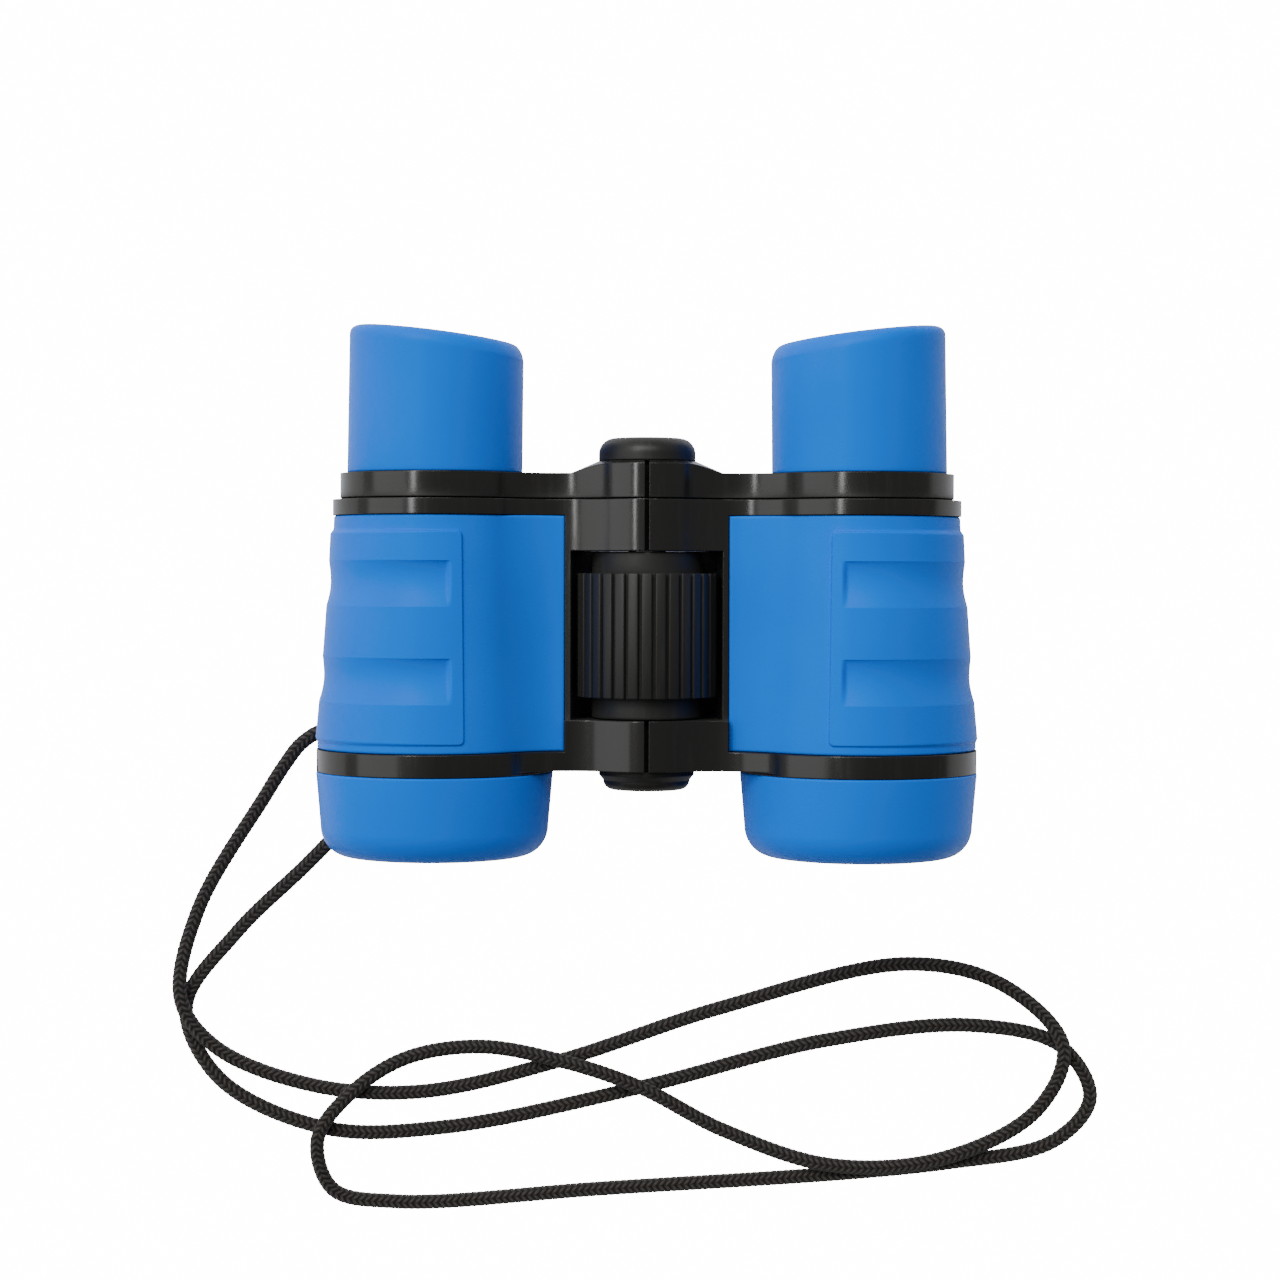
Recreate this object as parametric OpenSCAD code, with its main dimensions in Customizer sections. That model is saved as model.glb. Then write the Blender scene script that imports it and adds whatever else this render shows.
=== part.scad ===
// Toy binoculars with two straight barrels, a centre focus wheel, a folding hinge and a neck cord.
// They lie flat: +X is to the right, +Y runs to the eyepieces and +Z is up, with the wheel on top.

/* [Barrels] */
// Gap between the two objective rims when the hinge is flat
rim_gap = 30; // [29:0.5:34]
// Largest radius of the rubber rim at the objective end
rim_r = 19; // [18:0.1:21]
// Length of the rubber objective rim
rim_len = 13.6; // [12.5:0.1:16]
// Length of the black band above the objective rim
band_len = 3.5; // [3.2:0.1:4.5]
// Length of the rubber grip armour
armour_len = 37.3; // [36:0.1:40]
// Thickness of the flange at the top of each barrel
flange_len = 2.5; // [2:0.1:4]
// How far the lower edge of the grip armour stays inside the rim
armour_inset = 1.3; // [0.8:0.1:1.6]
// How much narrower the grip armour is at its top edge
armour_taper = 1.6; // [1:0.1:2]
// Thickness of the grip armour around the tube
armour_t = 1.4; // [1.2:0.1:1.8]

/* [Grip panel] */
// Height of the raised panel at its top edge
panel_rise_top = 0.5; // [0.3:0.05:0.7]
// Height of the raised panel at its lower edge
panel_rise_low = 0.35; // [0.3:0.05:0.6]
// How far the outer side of the grip swells out toward its lower edge
side_swell = 1.1; // [0.6:0.05:1.2]
// Angle from the crown to the inner edge of the raised panel
panel_past_crown = 19; // [14:1:26]
// Length of each finger groove
groove_len = 7.2; // [5:0.1:8]
// Depth of each finger groove near the crown
groove_depth = 0.8; // [0.5:0.1:1]

/* [Eyepieces] */
// Thickness of the eyepiece arms
arm_len = 4.2; // [3.5:0.1:5]
// Step from the flange of the barrel in to the eyepiece arm
arm_step = 1.2; // [0.8:0.1:1.6]
// Step from the eyepiece arm in to the eyecup
eyecup_step = 1.1; // [0.8:0.1:1.4]
// Length of an eyecup on its outer side
eyecup_len = 24.1; // [22:0.1:26]
// How much lower an eyecup is on its inner side
eyecup_drop = 3.4; // [2:0.1:5]

/* [Hinge and focus] */
// Height of the hinge above the barrel axes
hinge_rise = 3; // [2:0.1:4]
// Radius of the hinge knuckles on the barrels
knuckle_r = 9.5; // [9:0.1:10]
// Radius of the hollow curve between a barrel and the hinge
fillet_r = 12; // [11:0.5:14]
// Width of the seam between the left and right halves
seam_gap = 0.7; // [0.3:0.1:0.8]
// Open angle under the hinge that the fold can use
fold_room = 60; // [50:1:64]
// Radius of the rod that is both focus screw and hinge axle
rod_r = 3; // [2.6:0.1:3.4]
// Radius of the ribbed part of the focus wheel
wheel_r = 11.2; // [10.6:0.1:11.4]
// Number of ribs around the wheel
rib_count = 32; // [24:2:40]
// Length of the ribbed part of the wheel
rib_len = 19.6; // [16:0.1:21]
// How far the eyepieces slide out to focus
focus_travel = 4; // [2:0.1:5]

/* [Strap] */
// Diameter of the neck cord
cord_d = 2.1; // [1.8:0.1:2.2]
// Radius of the hole in each strap eye
strap_hole_r = 1.6; // [1.4:0.1:1.8]

/* [Hidden] */
$fn = 96;

// Sides: the left pieces are drawn, and the right ones are mirrored from them
LEFT = -1;
RIGHT = 1;

// Clearances
fit = 0.05;          // pieces that are pushed together
running = 0.06;      // radial room of a shaft or a sliding tube
free = 0.3;          // room between moving pieces
far = 60;            // longer than any cut needs to be

// Stations along Y, from the objective end up to the eyecups
overall_len = rim_len + band_len + armour_len + flange_len + arm_len + eyecup_len;
y_front = -overall_len / 2;
y_band = y_front + rim_len;
y_armour = y_band + band_len;
y_flange = y_armour + armour_len;
y_arm = y_flange + flange_len;
y_eyecup = y_arm + arm_len;

// Centre lines, as points across the barrels: [X, Z]
axis_z = rim_r;
tube_at = [-rim_r - rim_gap / 2, axis_z];
hinge_at = [0, axis_z + hinge_rise];

// Barrel housing
flange_step = 0.2;
tube_wall = 2.2;
rim_wall = 4;
sleeve_wall = 1.4;
band_r = rim_r - 0.1;
armour_low_r = rim_r - armour_inset;
armour_top_r = armour_low_r - armour_taper;
flange_r = armour_top_r + flange_step;
tube_top_r = armour_top_r - armour_t;
tube_low_r = armour_low_r - armour_t;
slide_r = tube_top_r - tube_wall;
slide_bore_r = slide_r + running;
slide_bore_len = 14;
lens_r = rim_r - rim_wall;
lens_seat_r = lens_r + fit;
lens_shelf = 0.9;
sleeve_r = lens_r + sleeve_wall;
sleeve_len = 8;
y_lens_seat = y_band + 3;
y_sleeve = y_band - sleeve_len;

// Objective lens, which touches the edge of its seat with its curved face
objective_edge = 2;
objective_bulge = 1.2;
lens_lift = objective_bulge * (1 - pow((lens_r - lens_shelf) / lens_r, 2));
y_lens = y_lens_seat - fit - lens_lift - objective_edge / 2;

// Hinge lugs and wheel pocket
lug_len = 8.1;
y_lug = y_arm - lug_len;
lower_lug_len = 8;
y_lower_lug = y_band + 0.5;
y_pocket = y_lower_lug + lower_lug_len;
pocket_x = wheel_r + 0.8;
wall_t = 0.9;
web_x = pocket_x + wall_t;
ring_r = 6.5;
ring_gap = 0.1;
low_edge = 270 - fold_room / 2;
arm_knuckle_r = knuckle_r - 0.5;

// Web between a barrel and the hinge, under the armour
web_top = axis_z + 5.8;
web_low = axis_z - 2;
skin_gap = 0.16;
edge_t = 1.8;
armour_edge_top = web_top + edge_t;
armour_edge_low = web_low - edge_t;

// Strap eye on the outer lower side of the band
strap_reach = rim_r + 1.9;
strap_angle = 225;
strap_lug_r = 3;
strap_stem_w = 3;
strap_stem_len = 2;
strap_eye_len = 2.2;
y_strap_eye = y_band + 0.3;
strap_at = tube_at + strap_reach * [cos(strap_angle), sin(strap_angle)];

// Eyepiece arm
arm_gap = 0.25;
slide_grip = 11;
slide_len = slide_grip + focus_travel;
slide_wall = 1.4;
arm_r = flange_r - arm_step;
eyecup_r = arm_r - eyecup_step;
cup_wall = 2;
neck_r = eyecup_r - cup_wall;
neck_len = 12.5;
neck_wall = 1.6;
eye_lens_r = neck_r - neck_wall;
eye_lens_shelf = 1;
eye_lens_depth = 5;
boss_r = 7.9;
boss_len = 1.9;
boss_flare = 4.4;
y_boss = y_eyecup + boss_len;
y_neck = y_eyecup + neck_len;
y_eye_seat = y_neck - eye_lens_depth;

// Focus rod, wheel and caps
spigot_r = rod_r - 0.5;
screw_hole_r = 1.2;
screw_hole_len = 8;
rod_past_lug = 2.2;
wheel_room = 0.15;
wheel_ring_r = 8.75;
rib_groove_w = 0.6;
rib_groove_depth = 0.7;
y_wheel_low = y_pocket + wheel_room;
y_wheel_top = y_lug - wheel_room;
y_ribs = (y_wheel_low + y_wheel_top) / 2 - rib_len / 2;
washer_r = 5.4;
washer_t = 0.7;
top_cap_r = 7.7;
top_cap_len = 3.6;
top_cap_round = 2.5;
bottom_cap_r = 7.6;
bottom_cap_end_r = 6.9;
bottom_cap_len = 3.2;
bottom_cap_round = 1.5;
cap_skirt = 0.8;
cap_wall = 0.9;

// Neck cord: route of its centre line, from the knot through the strap eye and back to the knot
cord_z = cord_d / 2;
over_z = cord_z + cord_d + 0.25;
strap_mid = [strap_at.x, y_strap_eye + strap_eye_len / 2, strap_at.y];
cord_route = [
    strap_mid + [-0.8, -6.2, -0.6], strap_mid, strap_mid + [-1.9, 3.2, 0.2],
    strap_mid + [-4.8, 4, 0], strap_mid + [-8.5, 1.9, -0.7], strap_mid + [-11.2, -1.4, -1.5],
    [-63.6, -34.6, 1.8], [-75, -54, 1.3], [-77.5, -68.5, over_z], [-71.9, -76.7, 2.2],
    [-56, -83.2, 1.2], [-37.6, -84.3, cord_z], [-14.3, -79, cord_z], [12.4, -70.1, cord_z],
    [44, -62.6, cord_z], [60, -66.2, 1.3], [69.6, -76, over_z], [65.4, -86.8, 2.6],
    [50, -94.8, 2.95], [31, -96.1, 2.85], [13, -90.4, 2.3], [-1, -83, over_z],
    [-14.3, -78.6, over_z], [-28, -76.6, 1.7], [-40.5, -78.7, 1.8], [-49.6, -84.6, over_z],
    [-54.7, -92, over_z], [-52.3, -100.7, 1.6], [-42, -102.8, 1.15], [-8, -100.6, cord_z],
    [50, -96.1, cord_z], [68.6, -92.2, cord_z], [74.5, -85, cord_z], [69.6, -76.4, cord_z],
    [55, -72.9, cord_z], [30, -75.5, cord_z], [-1, -83.5, cord_z], [-34, -90.3, cord_z],
    [-54, -90.4, cord_z], [-71.5, -82.1, cord_z], [-77, -70, cord_z], [-68.6, -57.7, cord_z],
    [-57.1, -46.5, 1.5], strap_mid + [-2.8, -13.3, -1.6]];
cord_sides = 8;
cord_steps = 2;

// Grip armour columns, as angles about the barrel axis, and stations along Y
step_half = 0.15;
step_angle = 0.9;
panel_edge = 90 - panel_past_crown;
groove_edge = panel_edge + 7;
arc_from = 48;
panel_top = y_flange - 2.6;
panel_low = y_armour + 1.5;
groove_first = 4.6;
groove_pitch = 15.2;
groove_tops = [panel_top - groove_first, panel_top - groove_first - groove_pitch];
web_columns = 6;
arc_columns = concat([arc_from, (arc_from + panel_edge) / 2, panel_edge - step_angle,
                      panel_edge + step_angle, groove_edge - step_angle, groove_edge + step_angle],
                     [for (i = [1:10]) groove_edge + (180 - groove_edge) * i / 10]);
groove_stations = [for (share = [0, 0.06, 0.18, 0.35, 0.55, 0.75, 0.9, 1]) -groove_len * share];
armour_stations = concat(
    [y_flange, panel_top + step_half, panel_top - step_half, panel_top - 2.4],
    [for (s = groove_stations) groove_tops[0] + s],
    [groove_tops[1] + 5.5, groove_tops[1] + 2.7],
    [for (s = groove_stations) groove_tops[1] + s],
    [panel_low + 3, panel_low + 1.5, panel_low + step_half, panel_low - step_half, y_armour]);

// Draws the left piece for the left side and its mirror image for the right side
module sided(side) {
    if (side == LEFT) children();
    else mirror([1, 0, 0]) children();
}

// Extrudes an outline drawn across the barrels, as [X, Z], from one Y station to another
module along_y(from, to) {
    translate([0, to, 0]) rotate([90, 0, 0]) linear_extrude(to - from) children();
}

// Turns an outline drawn as [radius, Y] about a centre line that runs along Y
module turned(at) {
    translate([at.x, 0, at.y]) rotate([-90, 0, 0]) rotate_extrude() children();
}

// A round bar along Y
module bar(at, r, from, to) {
    translate([at.x, from, at.y]) rotate([-90, 0, 0]) cylinder(r = r, h = to - from);
}

// Centre of the hollow curve that touches a barrel circle and a knuckle circle
function hollow_centre(barrel_r, boss_r, up) =
    let (line = hinge_at - tube_at, d = norm(line), along = line / d, across = [-along.y, along.x],
         a = (d * d + pow(barrel_r + fillet_r, 2) - pow(boss_r + fillet_r, 2)) / (2 * d))
    tube_at + a * along + up * sqrt(pow(barrel_r + fillet_r, 2) - a * a) * across;

// Outline of a barrel circle joined to the hinge knuckle by hollow curves above and below
module bridge_outline(barrel_r, boss_r) {
    top = hollow_centre(barrel_r, boss_r, 1);
    low = hollow_centre(barrel_r, boss_r, -1);
    translate(tube_at) circle(barrel_r);
    translate(hinge_at) circle(boss_r);
    difference() {
        polygon([tube_at, top, hinge_at, low]);
        translate(top) circle(fillet_r);
        translate(low) circle(fillet_r);
    }
}

// What the left half may fill around the hinge: up to the seam, and clear of the fold below
module left_sector() {
    difference() {
        translate([-2 * far, -far]) square([2 * far - seam_gap / 2, 2 * far]);
        polygon([hinge_at, hinge_at + far * [cos(low_edge), sin(low_edge)], hinge_at - [0, far]]);
    }
}

// One half of a bridge plate, from one Y station to another
module half_bridge(barrel_r, boss_r, from, to) {
    along_y(from, to) intersection() {
        bridge_outline(barrel_r, boss_r);
        left_sector();
    }
}

// Part of a half bridge that is nearer to the hinge than the armour edge
module half_lug(barrel_r, from, to) {
    along_y(from, to) intersection() {
        bridge_outline(barrel_r, knuckle_r);
        left_sector();
        translate([-web_x, -far]) square([2 * far, 3 * far]);
    }
}

// Half of the trough under the focus wheel
module trough_outline() {
    intersection() {
        translate(hinge_at) difference() {
            circle(web_x);
            circle(pocket_x);
        }
        translate([-far, hinge_at.y - far]) square([far, far]);
        left_sector();
    }
}

// Y span of this side's hinge ring in a lug: the left rings are the outermost on the barrels
function ring_span(side, left_on_top, from, to) =
    let (middle = (from + to) / 2, top = (side == LEFT) == left_on_top)
    top ? [middle + ring_gap / 2, to] : [from, middle - ring_gap / 2];

// Trims a lug to its own hinge ring and bores it for the rod
module with_ring(side, left_on_top, from, to, bore_r) {
    own = ring_span(side, left_on_top, from, to);
    other = ring_span(-side, left_on_top, from, to);
    difference() {
        union() {
            difference() {
                children();
                bar(hinge_at, ring_r + free, other[0] - ring_gap, other[1] + ring_gap);
            }
            bar(hinge_at, ring_r, own[0], own[1]);
        }
        bar(hinge_at, bore_r, from - 1, to + 1);
    }
}

// Conical tube of a barrel, drawn as [radius, Y]
module tube_outline() {
    polygon([[slide_bore_r, y_arm], [tube_top_r, y_arm], [tube_top_r, y_flange],
             [tube_low_r, y_armour], [tube_low_r, y_band], [sleeve_r, y_band], [sleeve_r, y_sleeve],
             [lens_seat_r, y_sleeve], [lens_seat_r, y_lens_seat], [lens_r - lens_shelf, y_lens_seat],
             [slide_bore_r, y_arm - slide_bore_len]]);
}

// Stem of the strap eye, or with some room the slot in the band that it sits in
module strap_slot(room) {
    along_y(y_strap_eye - room, y_strap_eye + strap_eye_len + room)
        translate(tube_at) rotate(strap_angle)
            translate([rim_r - strap_stem_len - room, -strap_stem_w / 2 - room])
                square([strap_reach - rim_r + strap_stem_len, strap_stem_w + 2 * room]);
}

module barrel_housing(side) {
    color([0.04, 0.04, 0.045]) sided(side) difference() {
        union() {
            with_ring(side, true, y_lug, y_arm, rod_r + running) {
                half_bridge(flange_r, knuckle_r, y_flange, y_arm);
                half_lug(flange_r, y_lug, y_flange);
            }
            with_ring(side, false, y_lower_lug, y_pocket, rod_r + running) {
                half_bridge(band_r, knuckle_r, y_lower_lug, y_armour);
                half_lug(band_r, y_armour, y_pocket);
            }
            bar(tube_at, band_r, y_band, y_armour);
            along_y(y_armour, y_flange)
                translate([tube_at.x, web_low]) square([-pocket_x - tube_at.x, web_top - web_low]);
            along_y(y_pocket, y_lug) {
                intersection() {
                    bridge_outline(flange_r, knuckle_r);
                    translate([-web_x, -far]) square([wall_t, 3 * far]);
                }
                trough_outline();
            }
            turned(tube_at) tube_outline();
        }
        turned(tube_at) polygon([[0, y_arm + 1], [slide_bore_r, y_arm + 1],
            [slide_bore_r, y_arm - slide_bore_len], [lens_r - lens_shelf, y_lens_seat],
            [lens_seat_r, y_lens_seat], [lens_seat_r, y_front], [0, y_front]]);
        strap_slot(fit);
    }
}

module strap_eye(side) {
    color([0.04, 0.04, 0.045]) sided(side) difference() {
        union() {
            strap_slot(0);
            difference() {
                bar(strap_at, strap_lug_r, y_strap_eye, y_strap_eye + strap_eye_len);
                bar(tube_at, band_r + fit, y_band, y_armour);
            }
        }
        bar(strap_at, strap_hole_r, y_band - 1, y_armour + 1);
    }
}

module objective_rim(side) {
    corner = [4.4, 4.8];
    end_r = rim_r - 0.75;
    lip_r = lens_r - 2.1;
    at = [end_r - corner.x, y_front + corner.y];
    color([0.0, 0.45, 0.92]) sided(side) turned(tube_at) difference() {
        polygon(concat([[lip_r, y_front], [lip_r, y_band - fit], [rim_r, y_band - fit]],
                       [for (a = [0:7.5:90]) at + [corner.x * cos(a), -corner.y * sin(a)]]));
        translate([0, y_sleeve - fit]) square([sleeve_r + fit, far]);
    }
}

// Lens outline as [radius, Y]: positive bulge is convex and negative bulge is hollow
module lens_outline(r, edge_t, bulge) {
    dome_r = (r * r + bulge * bulge) / (2 * abs(bulge));
    half_t = edge_t / 2 + max(0, bulge);
    reach = edge_t / 2 + bulge;
    if (bulge > 0) intersection() {
        translate([0, -half_t]) square([r, 2 * half_t]);
        translate([0, reach - dome_r]) circle(dome_r, $fn = dome_sides);
        translate([0, dome_r - reach]) circle(dome_r, $fn = dome_sides);
    }
    else difference() {
        translate([0, -half_t]) square([r, 2 * half_t]);
        translate([0, reach + dome_r]) circle(dome_r, $fn = dome_sides);
        translate([0, -reach - dome_r]) circle(dome_r, $fn = dome_sides);
    }
}

module lens(at, r, edge_t, bulge, y_mid) {
    translate([0, y_mid, 0]) turned(at) lens_outline(r, edge_t, bulge);
}

dome_sides = 720;

module objective_lens(side) {
    color([0.6, 0.75, 0.8, 0.5]) sided(side)
        lens(tube_at, lens_r, objective_edge, objective_bulge, y_lens);
}

module objective_ring(side) {
    ring_t = 2;
    ring_bevel = 0.4;
    y_top = y_lens - objective_edge / 2 - lens_lift - fit;
    color([0.05, 0.05, 0.055]) sided(side) turned(tube_at)
        polygon([[lens_r, y_top], [lens_r - lens_shelf, y_top],
                 [lens_r - lens_shelf + ring_bevel, y_top - ring_t], [lens_r, y_top - ring_t]]);
}

// Boss around the hinge with its sloping foot, drawn as [radius, Y]
module boss_outline() {
    y_low = y_arm + arm_gap;
    polygon([[0, y_low], [boss_r + boss_flare, y_low], [boss_r + boss_flare, y_eyecup],
             [boss_r, y_boss], [0, y_boss]]);
}

module eyepiece_arm(side) {
    y_low = y_arm + arm_gap;
    color([0.04, 0.04, 0.045]) sided(side) {
        difference() {
            union() {
                with_ring(side, false, y_low, y_boss, spigot_r + running) {
                    half_bridge(arm_r, arm_knuckle_r, y_low, y_eyecup);
                    intersection() {
                        turned(hinge_at) boss_outline();
                        half_bridge(arm_r, arm_knuckle_r, y_low, y_boss);
                    }
                }
                bar(tube_at, slide_r, y_arm - slide_len, y_low + 1);
                bar(tube_at, neck_r, y_eyecup - 1, y_neck);
            }
            bar(tube_at, slide_r - slide_wall, y_arm - slide_len - 1, y_low);
            bar(tube_at, eye_lens_r - eye_lens_shelf, y_arm - 1, y_neck + 1);
            bar(tube_at, eye_lens_r + fit, y_eye_seat, y_neck + 1);
        }
    }
}

eye_lens_edge = 2.4;
eye_lens_hollow = -0.8;

module eyepiece_lens(side) {
    color([0.6, 0.75, 0.8, 0.5]) sided(side)
        lens(tube_at, eye_lens_r, eye_lens_edge, eye_lens_hollow, y_eye_seat + fit + eye_lens_edge / 2);
}

module eyepiece_ring(side) {
    ring_w = 1.3;
    y_low = y_eye_seat + eye_lens_edge + 2 * fit;
    color([0.05, 0.05, 0.055]) sided(side) turned(tube_at)
        polygon([[eye_lens_r, y_low], [eye_lens_r - ring_w, y_low],
                 [eye_lens_r - ring_w / 2, y_neck - 0.4], [eye_lens_r, y_neck - 0.4]]);
}

// Eyecup rows as [radius, height, share of the slant], from the foot up the outside and down inside
cup_round = 1.7;
cup_top_r = eyecup_r - 0.1;
cup_lean = 0.2;
cup_lip_r = neck_r - 0.9;
cup_inner = 0.7;
cup_len = eyecup_len - fit;
cup_step = neck_len;
cup_rows = concat(
    [for (k = [0:4]) [eyecup_r + (cup_top_r - eyecup_r) * k / 4, (cup_len - cup_round) * k / 4,
                      (cup_len - cup_round) * k / 4 / cup_len]],
    [for (a = [22.5:22.5:90]) [cup_top_r - cup_round * (1 - cos(a)),
                               cup_len - cup_round * (1 - sin(a)), 1]],
    [for (a = [0:30:90]) [cup_lip_r + cup_inner * (1 - sin(a)),
                          cup_len - cup_inner * (1 - cos(a)), 1]],
    [[cup_lip_r, cup_step + 3, 0.3], [cup_lip_r, cup_step, 0], [neck_r + fit, cup_step, 0],
     [neck_r + fit, 0, 0]]);
cup_columns = 48;

module eyecup(side) {
    rows = len(cup_rows);
    points = [for (row = cup_rows, c = [0:cup_columns - 1])
        let (a = 360 * c / cup_columns, x = row[0] * cos(a) + cup_lean * row[2],
             drop = eyecup_drop * (1 + x / eyecup_r) / 2)
        [tube_at.x + x, y_eyecup + fit + row[1] - drop * row[2], tube_at.y + row[0] * sin(a)]];
    faces = [for (r = [0:rows - 1], c = [0:cup_columns - 1])
        let (n = (c + 1) % cup_columns, q = (r + 1) % rows,
             at = r * cup_columns, up = q * cup_columns)
        each [[at + c, up + n, at + n], [at + c, up + c, up + n]]];
    color([0.0, 0.45, 0.92]) sided(side) polyhedron(points, faces, convexity = 6);
}

// Share from 0 to 1 of the way from a to b
function ramp(v, a, b) = min(1, max(0, (v - a) / (b - a)));
function mix(a, b, t) = a + (b - a) * t;

// Share of the way down the armour
function armour_share(y) = ramp(y, y_flange, y_armour);
function armour_r(y) = mix(armour_top_r, armour_low_r, armour_share(y));

// Share of the way from the groove ends near the crown to the outer side of a barrel
function side_share(a) = ramp(a, groove_edge, 160);

// Depth of a finger groove: a scoop that is deepest near its top edge, and shallower on the outer side
function groove_cut(y, top, a) =
    let (t = ramp(y, top, top - groove_len))
    groove_depth * mix(1, 0.6, side_share(a)) * sin(180 * pow(t, mix(0.65, 1.1, side_share(a))))
    * ramp(a, groove_edge - step_angle, groove_edge + step_angle);

// Height of the raised panel over the armour, with its grooves
function panel_rise(a, y) =
    let (inside = min(ramp(a, panel_edge - step_angle, panel_edge + step_angle),
                      ramp(y, panel_low - step_half, panel_low + step_half),
                      ramp(-y, -panel_top - step_half, -panel_top + step_half)),
         rise = mix(panel_rise_top, panel_rise_low, ramp(y, panel_top, panel_low)))
    inside * (rise - groove_cut(y, groove_tops[0], a) - groove_cut(y, groove_tops[1], a));

// Swell of the outer side toward the lower edge
function swell(a, y) = side_swell * pow(ramp(y, panel_top, panel_low), 1.7) * ramp(a, 80, 180);

// Point on a barrel circle, where up is 1 above the axis and -1 below it
function on_barrel(r, a, up) = tube_at + r * [cos(a), up * sin(a)];

// Smooth curve from the armour edge to the barrel circle
function web_point(y, k, up) =
    let (t = k / web_columns, r = armour_r(y),
         start = [-web_x - fit, up > 0 ? armour_edge_top : armour_edge_low],
         stop = on_barrel(r, arc_from, up), pull = 11,
         out = pull * [-1, 0.05 * up], into = pull * [-sin(arc_from), up * cos(arc_from)],
         u = 1 - t)
    u * u * (1 + 2 * t) * start + t * u * u * out + t * t * (3 - 2 * t) * stop - t * t * u * into;

function outer_half(y, up) = concat(
    [for (k = [0:web_columns - 1]) web_point(y, k, up)],
    [for (a = arc_columns) on_barrel(armour_r(y) + swell(a, y) + panel_rise(a, y), a, up)]);

function inner_half(y, up) =
    let (r = mix(tube_top_r, tube_low_r, armour_share(y)) + skin_gap,
         z = up > 0 ? web_top + skin_gap : web_low - skin_gap,
         from = asin(abs(z - tube_at.y) / r))
    concat(
        [for (k = [0:web_columns - 1])
            [mix(-web_x - fit, tube_at.x + r * cos(from), k / web_columns), z]],
        [for (a = arc_columns) on_barrel(r, mix(from, 180, (a - arc_from) / (180 - arc_from)), up)]);

// The upper half from the edge outward, then the lower half back to its edge
function both_halves(top, low) =
    concat(top, [for (i = [len(low) - 2:-1:0]) low[i]]);

module grip_armour(side) {
    top_y = y_flange - fit;
    low_y = y_armour + fit;
    stations = [for (y = armour_stations) max(low_y, min(top_y, y))];
    rows = concat([for (y = stations) [y, both_halves(outer_half(y, 1), outer_half(y, -1))]],
                  [for (y = [top_y, low_y]) [y, both_halves(inner_half(y, 1), inner_half(y, -1))]]);
    n = len(rows[0][1]);
    m = len(stations);
    points = [for (row = rows, p = row[1]) [p.x, row[0], p.y]];
    outer = [for (s = [0:m - 2], c = [0:n - 2]) let (at = s * n + c)
        each [[at, at + n, at + 1], [at + 1, at + n, at + n + 1]]];
    inner = [for (c = [0:n - 2]) let (at = m * n + c)
        each [[at, at + 1, at + n], [at + 1, at + n + 1, at + n]]];
    ends = [for (c = [0:n - 2]) let (low = (m - 1) * n + c, top_in = m * n + c, low_in = top_in + n)
        each [[c, c + 1, top_in], [c + 1, top_in + 1, top_in],
              [low, low_in, low + 1], [low + 1, low_in, low_in + 1]]];
    edges = [for (s = [0:m - 2]) each [[s * n, m * n, (s + 1) * n],
                                       [s * n + n - 1, (s + 2) * n - 1, (m + 1) * n - 1]]];
    corners = [[(m - 1) * n, m * n, (m + 1) * n], [m * n - 1, (m + 2) * n - 1, (m + 1) * n - 1]];
    color([0.0, 0.45, 0.92]) sided(side)
        polyhedron(points, concat(outer, inner, ends, edges, corners), convexity = 8);
}

module focus_wheel() {
    color([0.05, 0.05, 0.055]) difference() {
        union() {
            bar(hinge_at, wheel_ring_r, y_wheel_low, y_wheel_top);
            along_y(y_ribs, y_ribs + rib_len) translate(hinge_at) difference() {
                circle(wheel_r);
                for (i = [0:rib_count - 1]) rotate(360 * (i + 0.5) / rib_count)
                    translate([wheel_r - rib_groove_depth, -rib_groove_w / 2])
                        square([rib_groove_depth + 1, rib_groove_w]);
            }
        }
        bar(hinge_at, rod_r + running, y_wheel_low - 1, y_wheel_top + 1);
    }
}

module focus_screw() {
    color([0.6, 0.6, 0.62]) difference() {
        union() {
            bar(hinge_at, rod_r, y_lower_lug - rod_past_lug, y_arm + arm_gap - fit);
            bar(hinge_at, spigot_r, y_arm, y_boss + fit);
        }
        bar(hinge_at, screw_hole_r, y_boss - screw_hole_len, y_boss + 1);
    }
}

y_washer = y_boss + fit;
screw_head_r = 2.8;
screw_head_t = 1.4;
screw_len = 7;

module retaining_washer() {
    color([0.75, 0.75, 0.77]) difference() {
        bar(hinge_at, washer_r, y_washer, y_washer + washer_t);
        bar(hinge_at, screw_hole_r + 0.3, y_washer - 1, y_washer + washer_t + 1);
    }
}

module retaining_screw() {
    y_head = y_washer + washer_t;
    slot_w = 0.8;
    color([0.75, 0.75, 0.77]) difference() {
        union() {
            bar(hinge_at, screw_head_r, y_head, y_head + screw_head_t);
            bar(hinge_at, screw_hole_r - fit, y_head - screw_len, y_head + 0.5);
        }
        for (turn = [0, 90])
            translate([hinge_at.x, y_head + screw_head_t, hinge_at.y]) rotate([0, turn, 0])
                cube([2 * screw_head_r - 2, 1.4, slot_w], center = true);
    }
}

// Cap with a rounded edge, hollow inside, drawn as [radius, distance from its open end]
module cap_outline(foot_r, end_r, height, round_r, inside_r) {
    difference() {
        polygon(concat([[0, 0], [foot_r, 0], [foot_r, cap_skirt]],
                       [for (a = [0:7.5:90])
                           [end_r - round_r * (1 - cos(a)), height - round_r * (1 - sin(a))]],
                       [[0, height]]));
        translate([0, -1]) square([inside_r, height - cap_wall + 1]);
    }
}

module top_cap() {
    color([0.06, 0.06, 0.065]) translate([0, y_boss + 2 * fit, 0]) turned(hinge_at)
        cap_outline(top_cap_r, top_cap_r, top_cap_len, top_cap_round, washer_r + 2 * fit);
}

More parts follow.
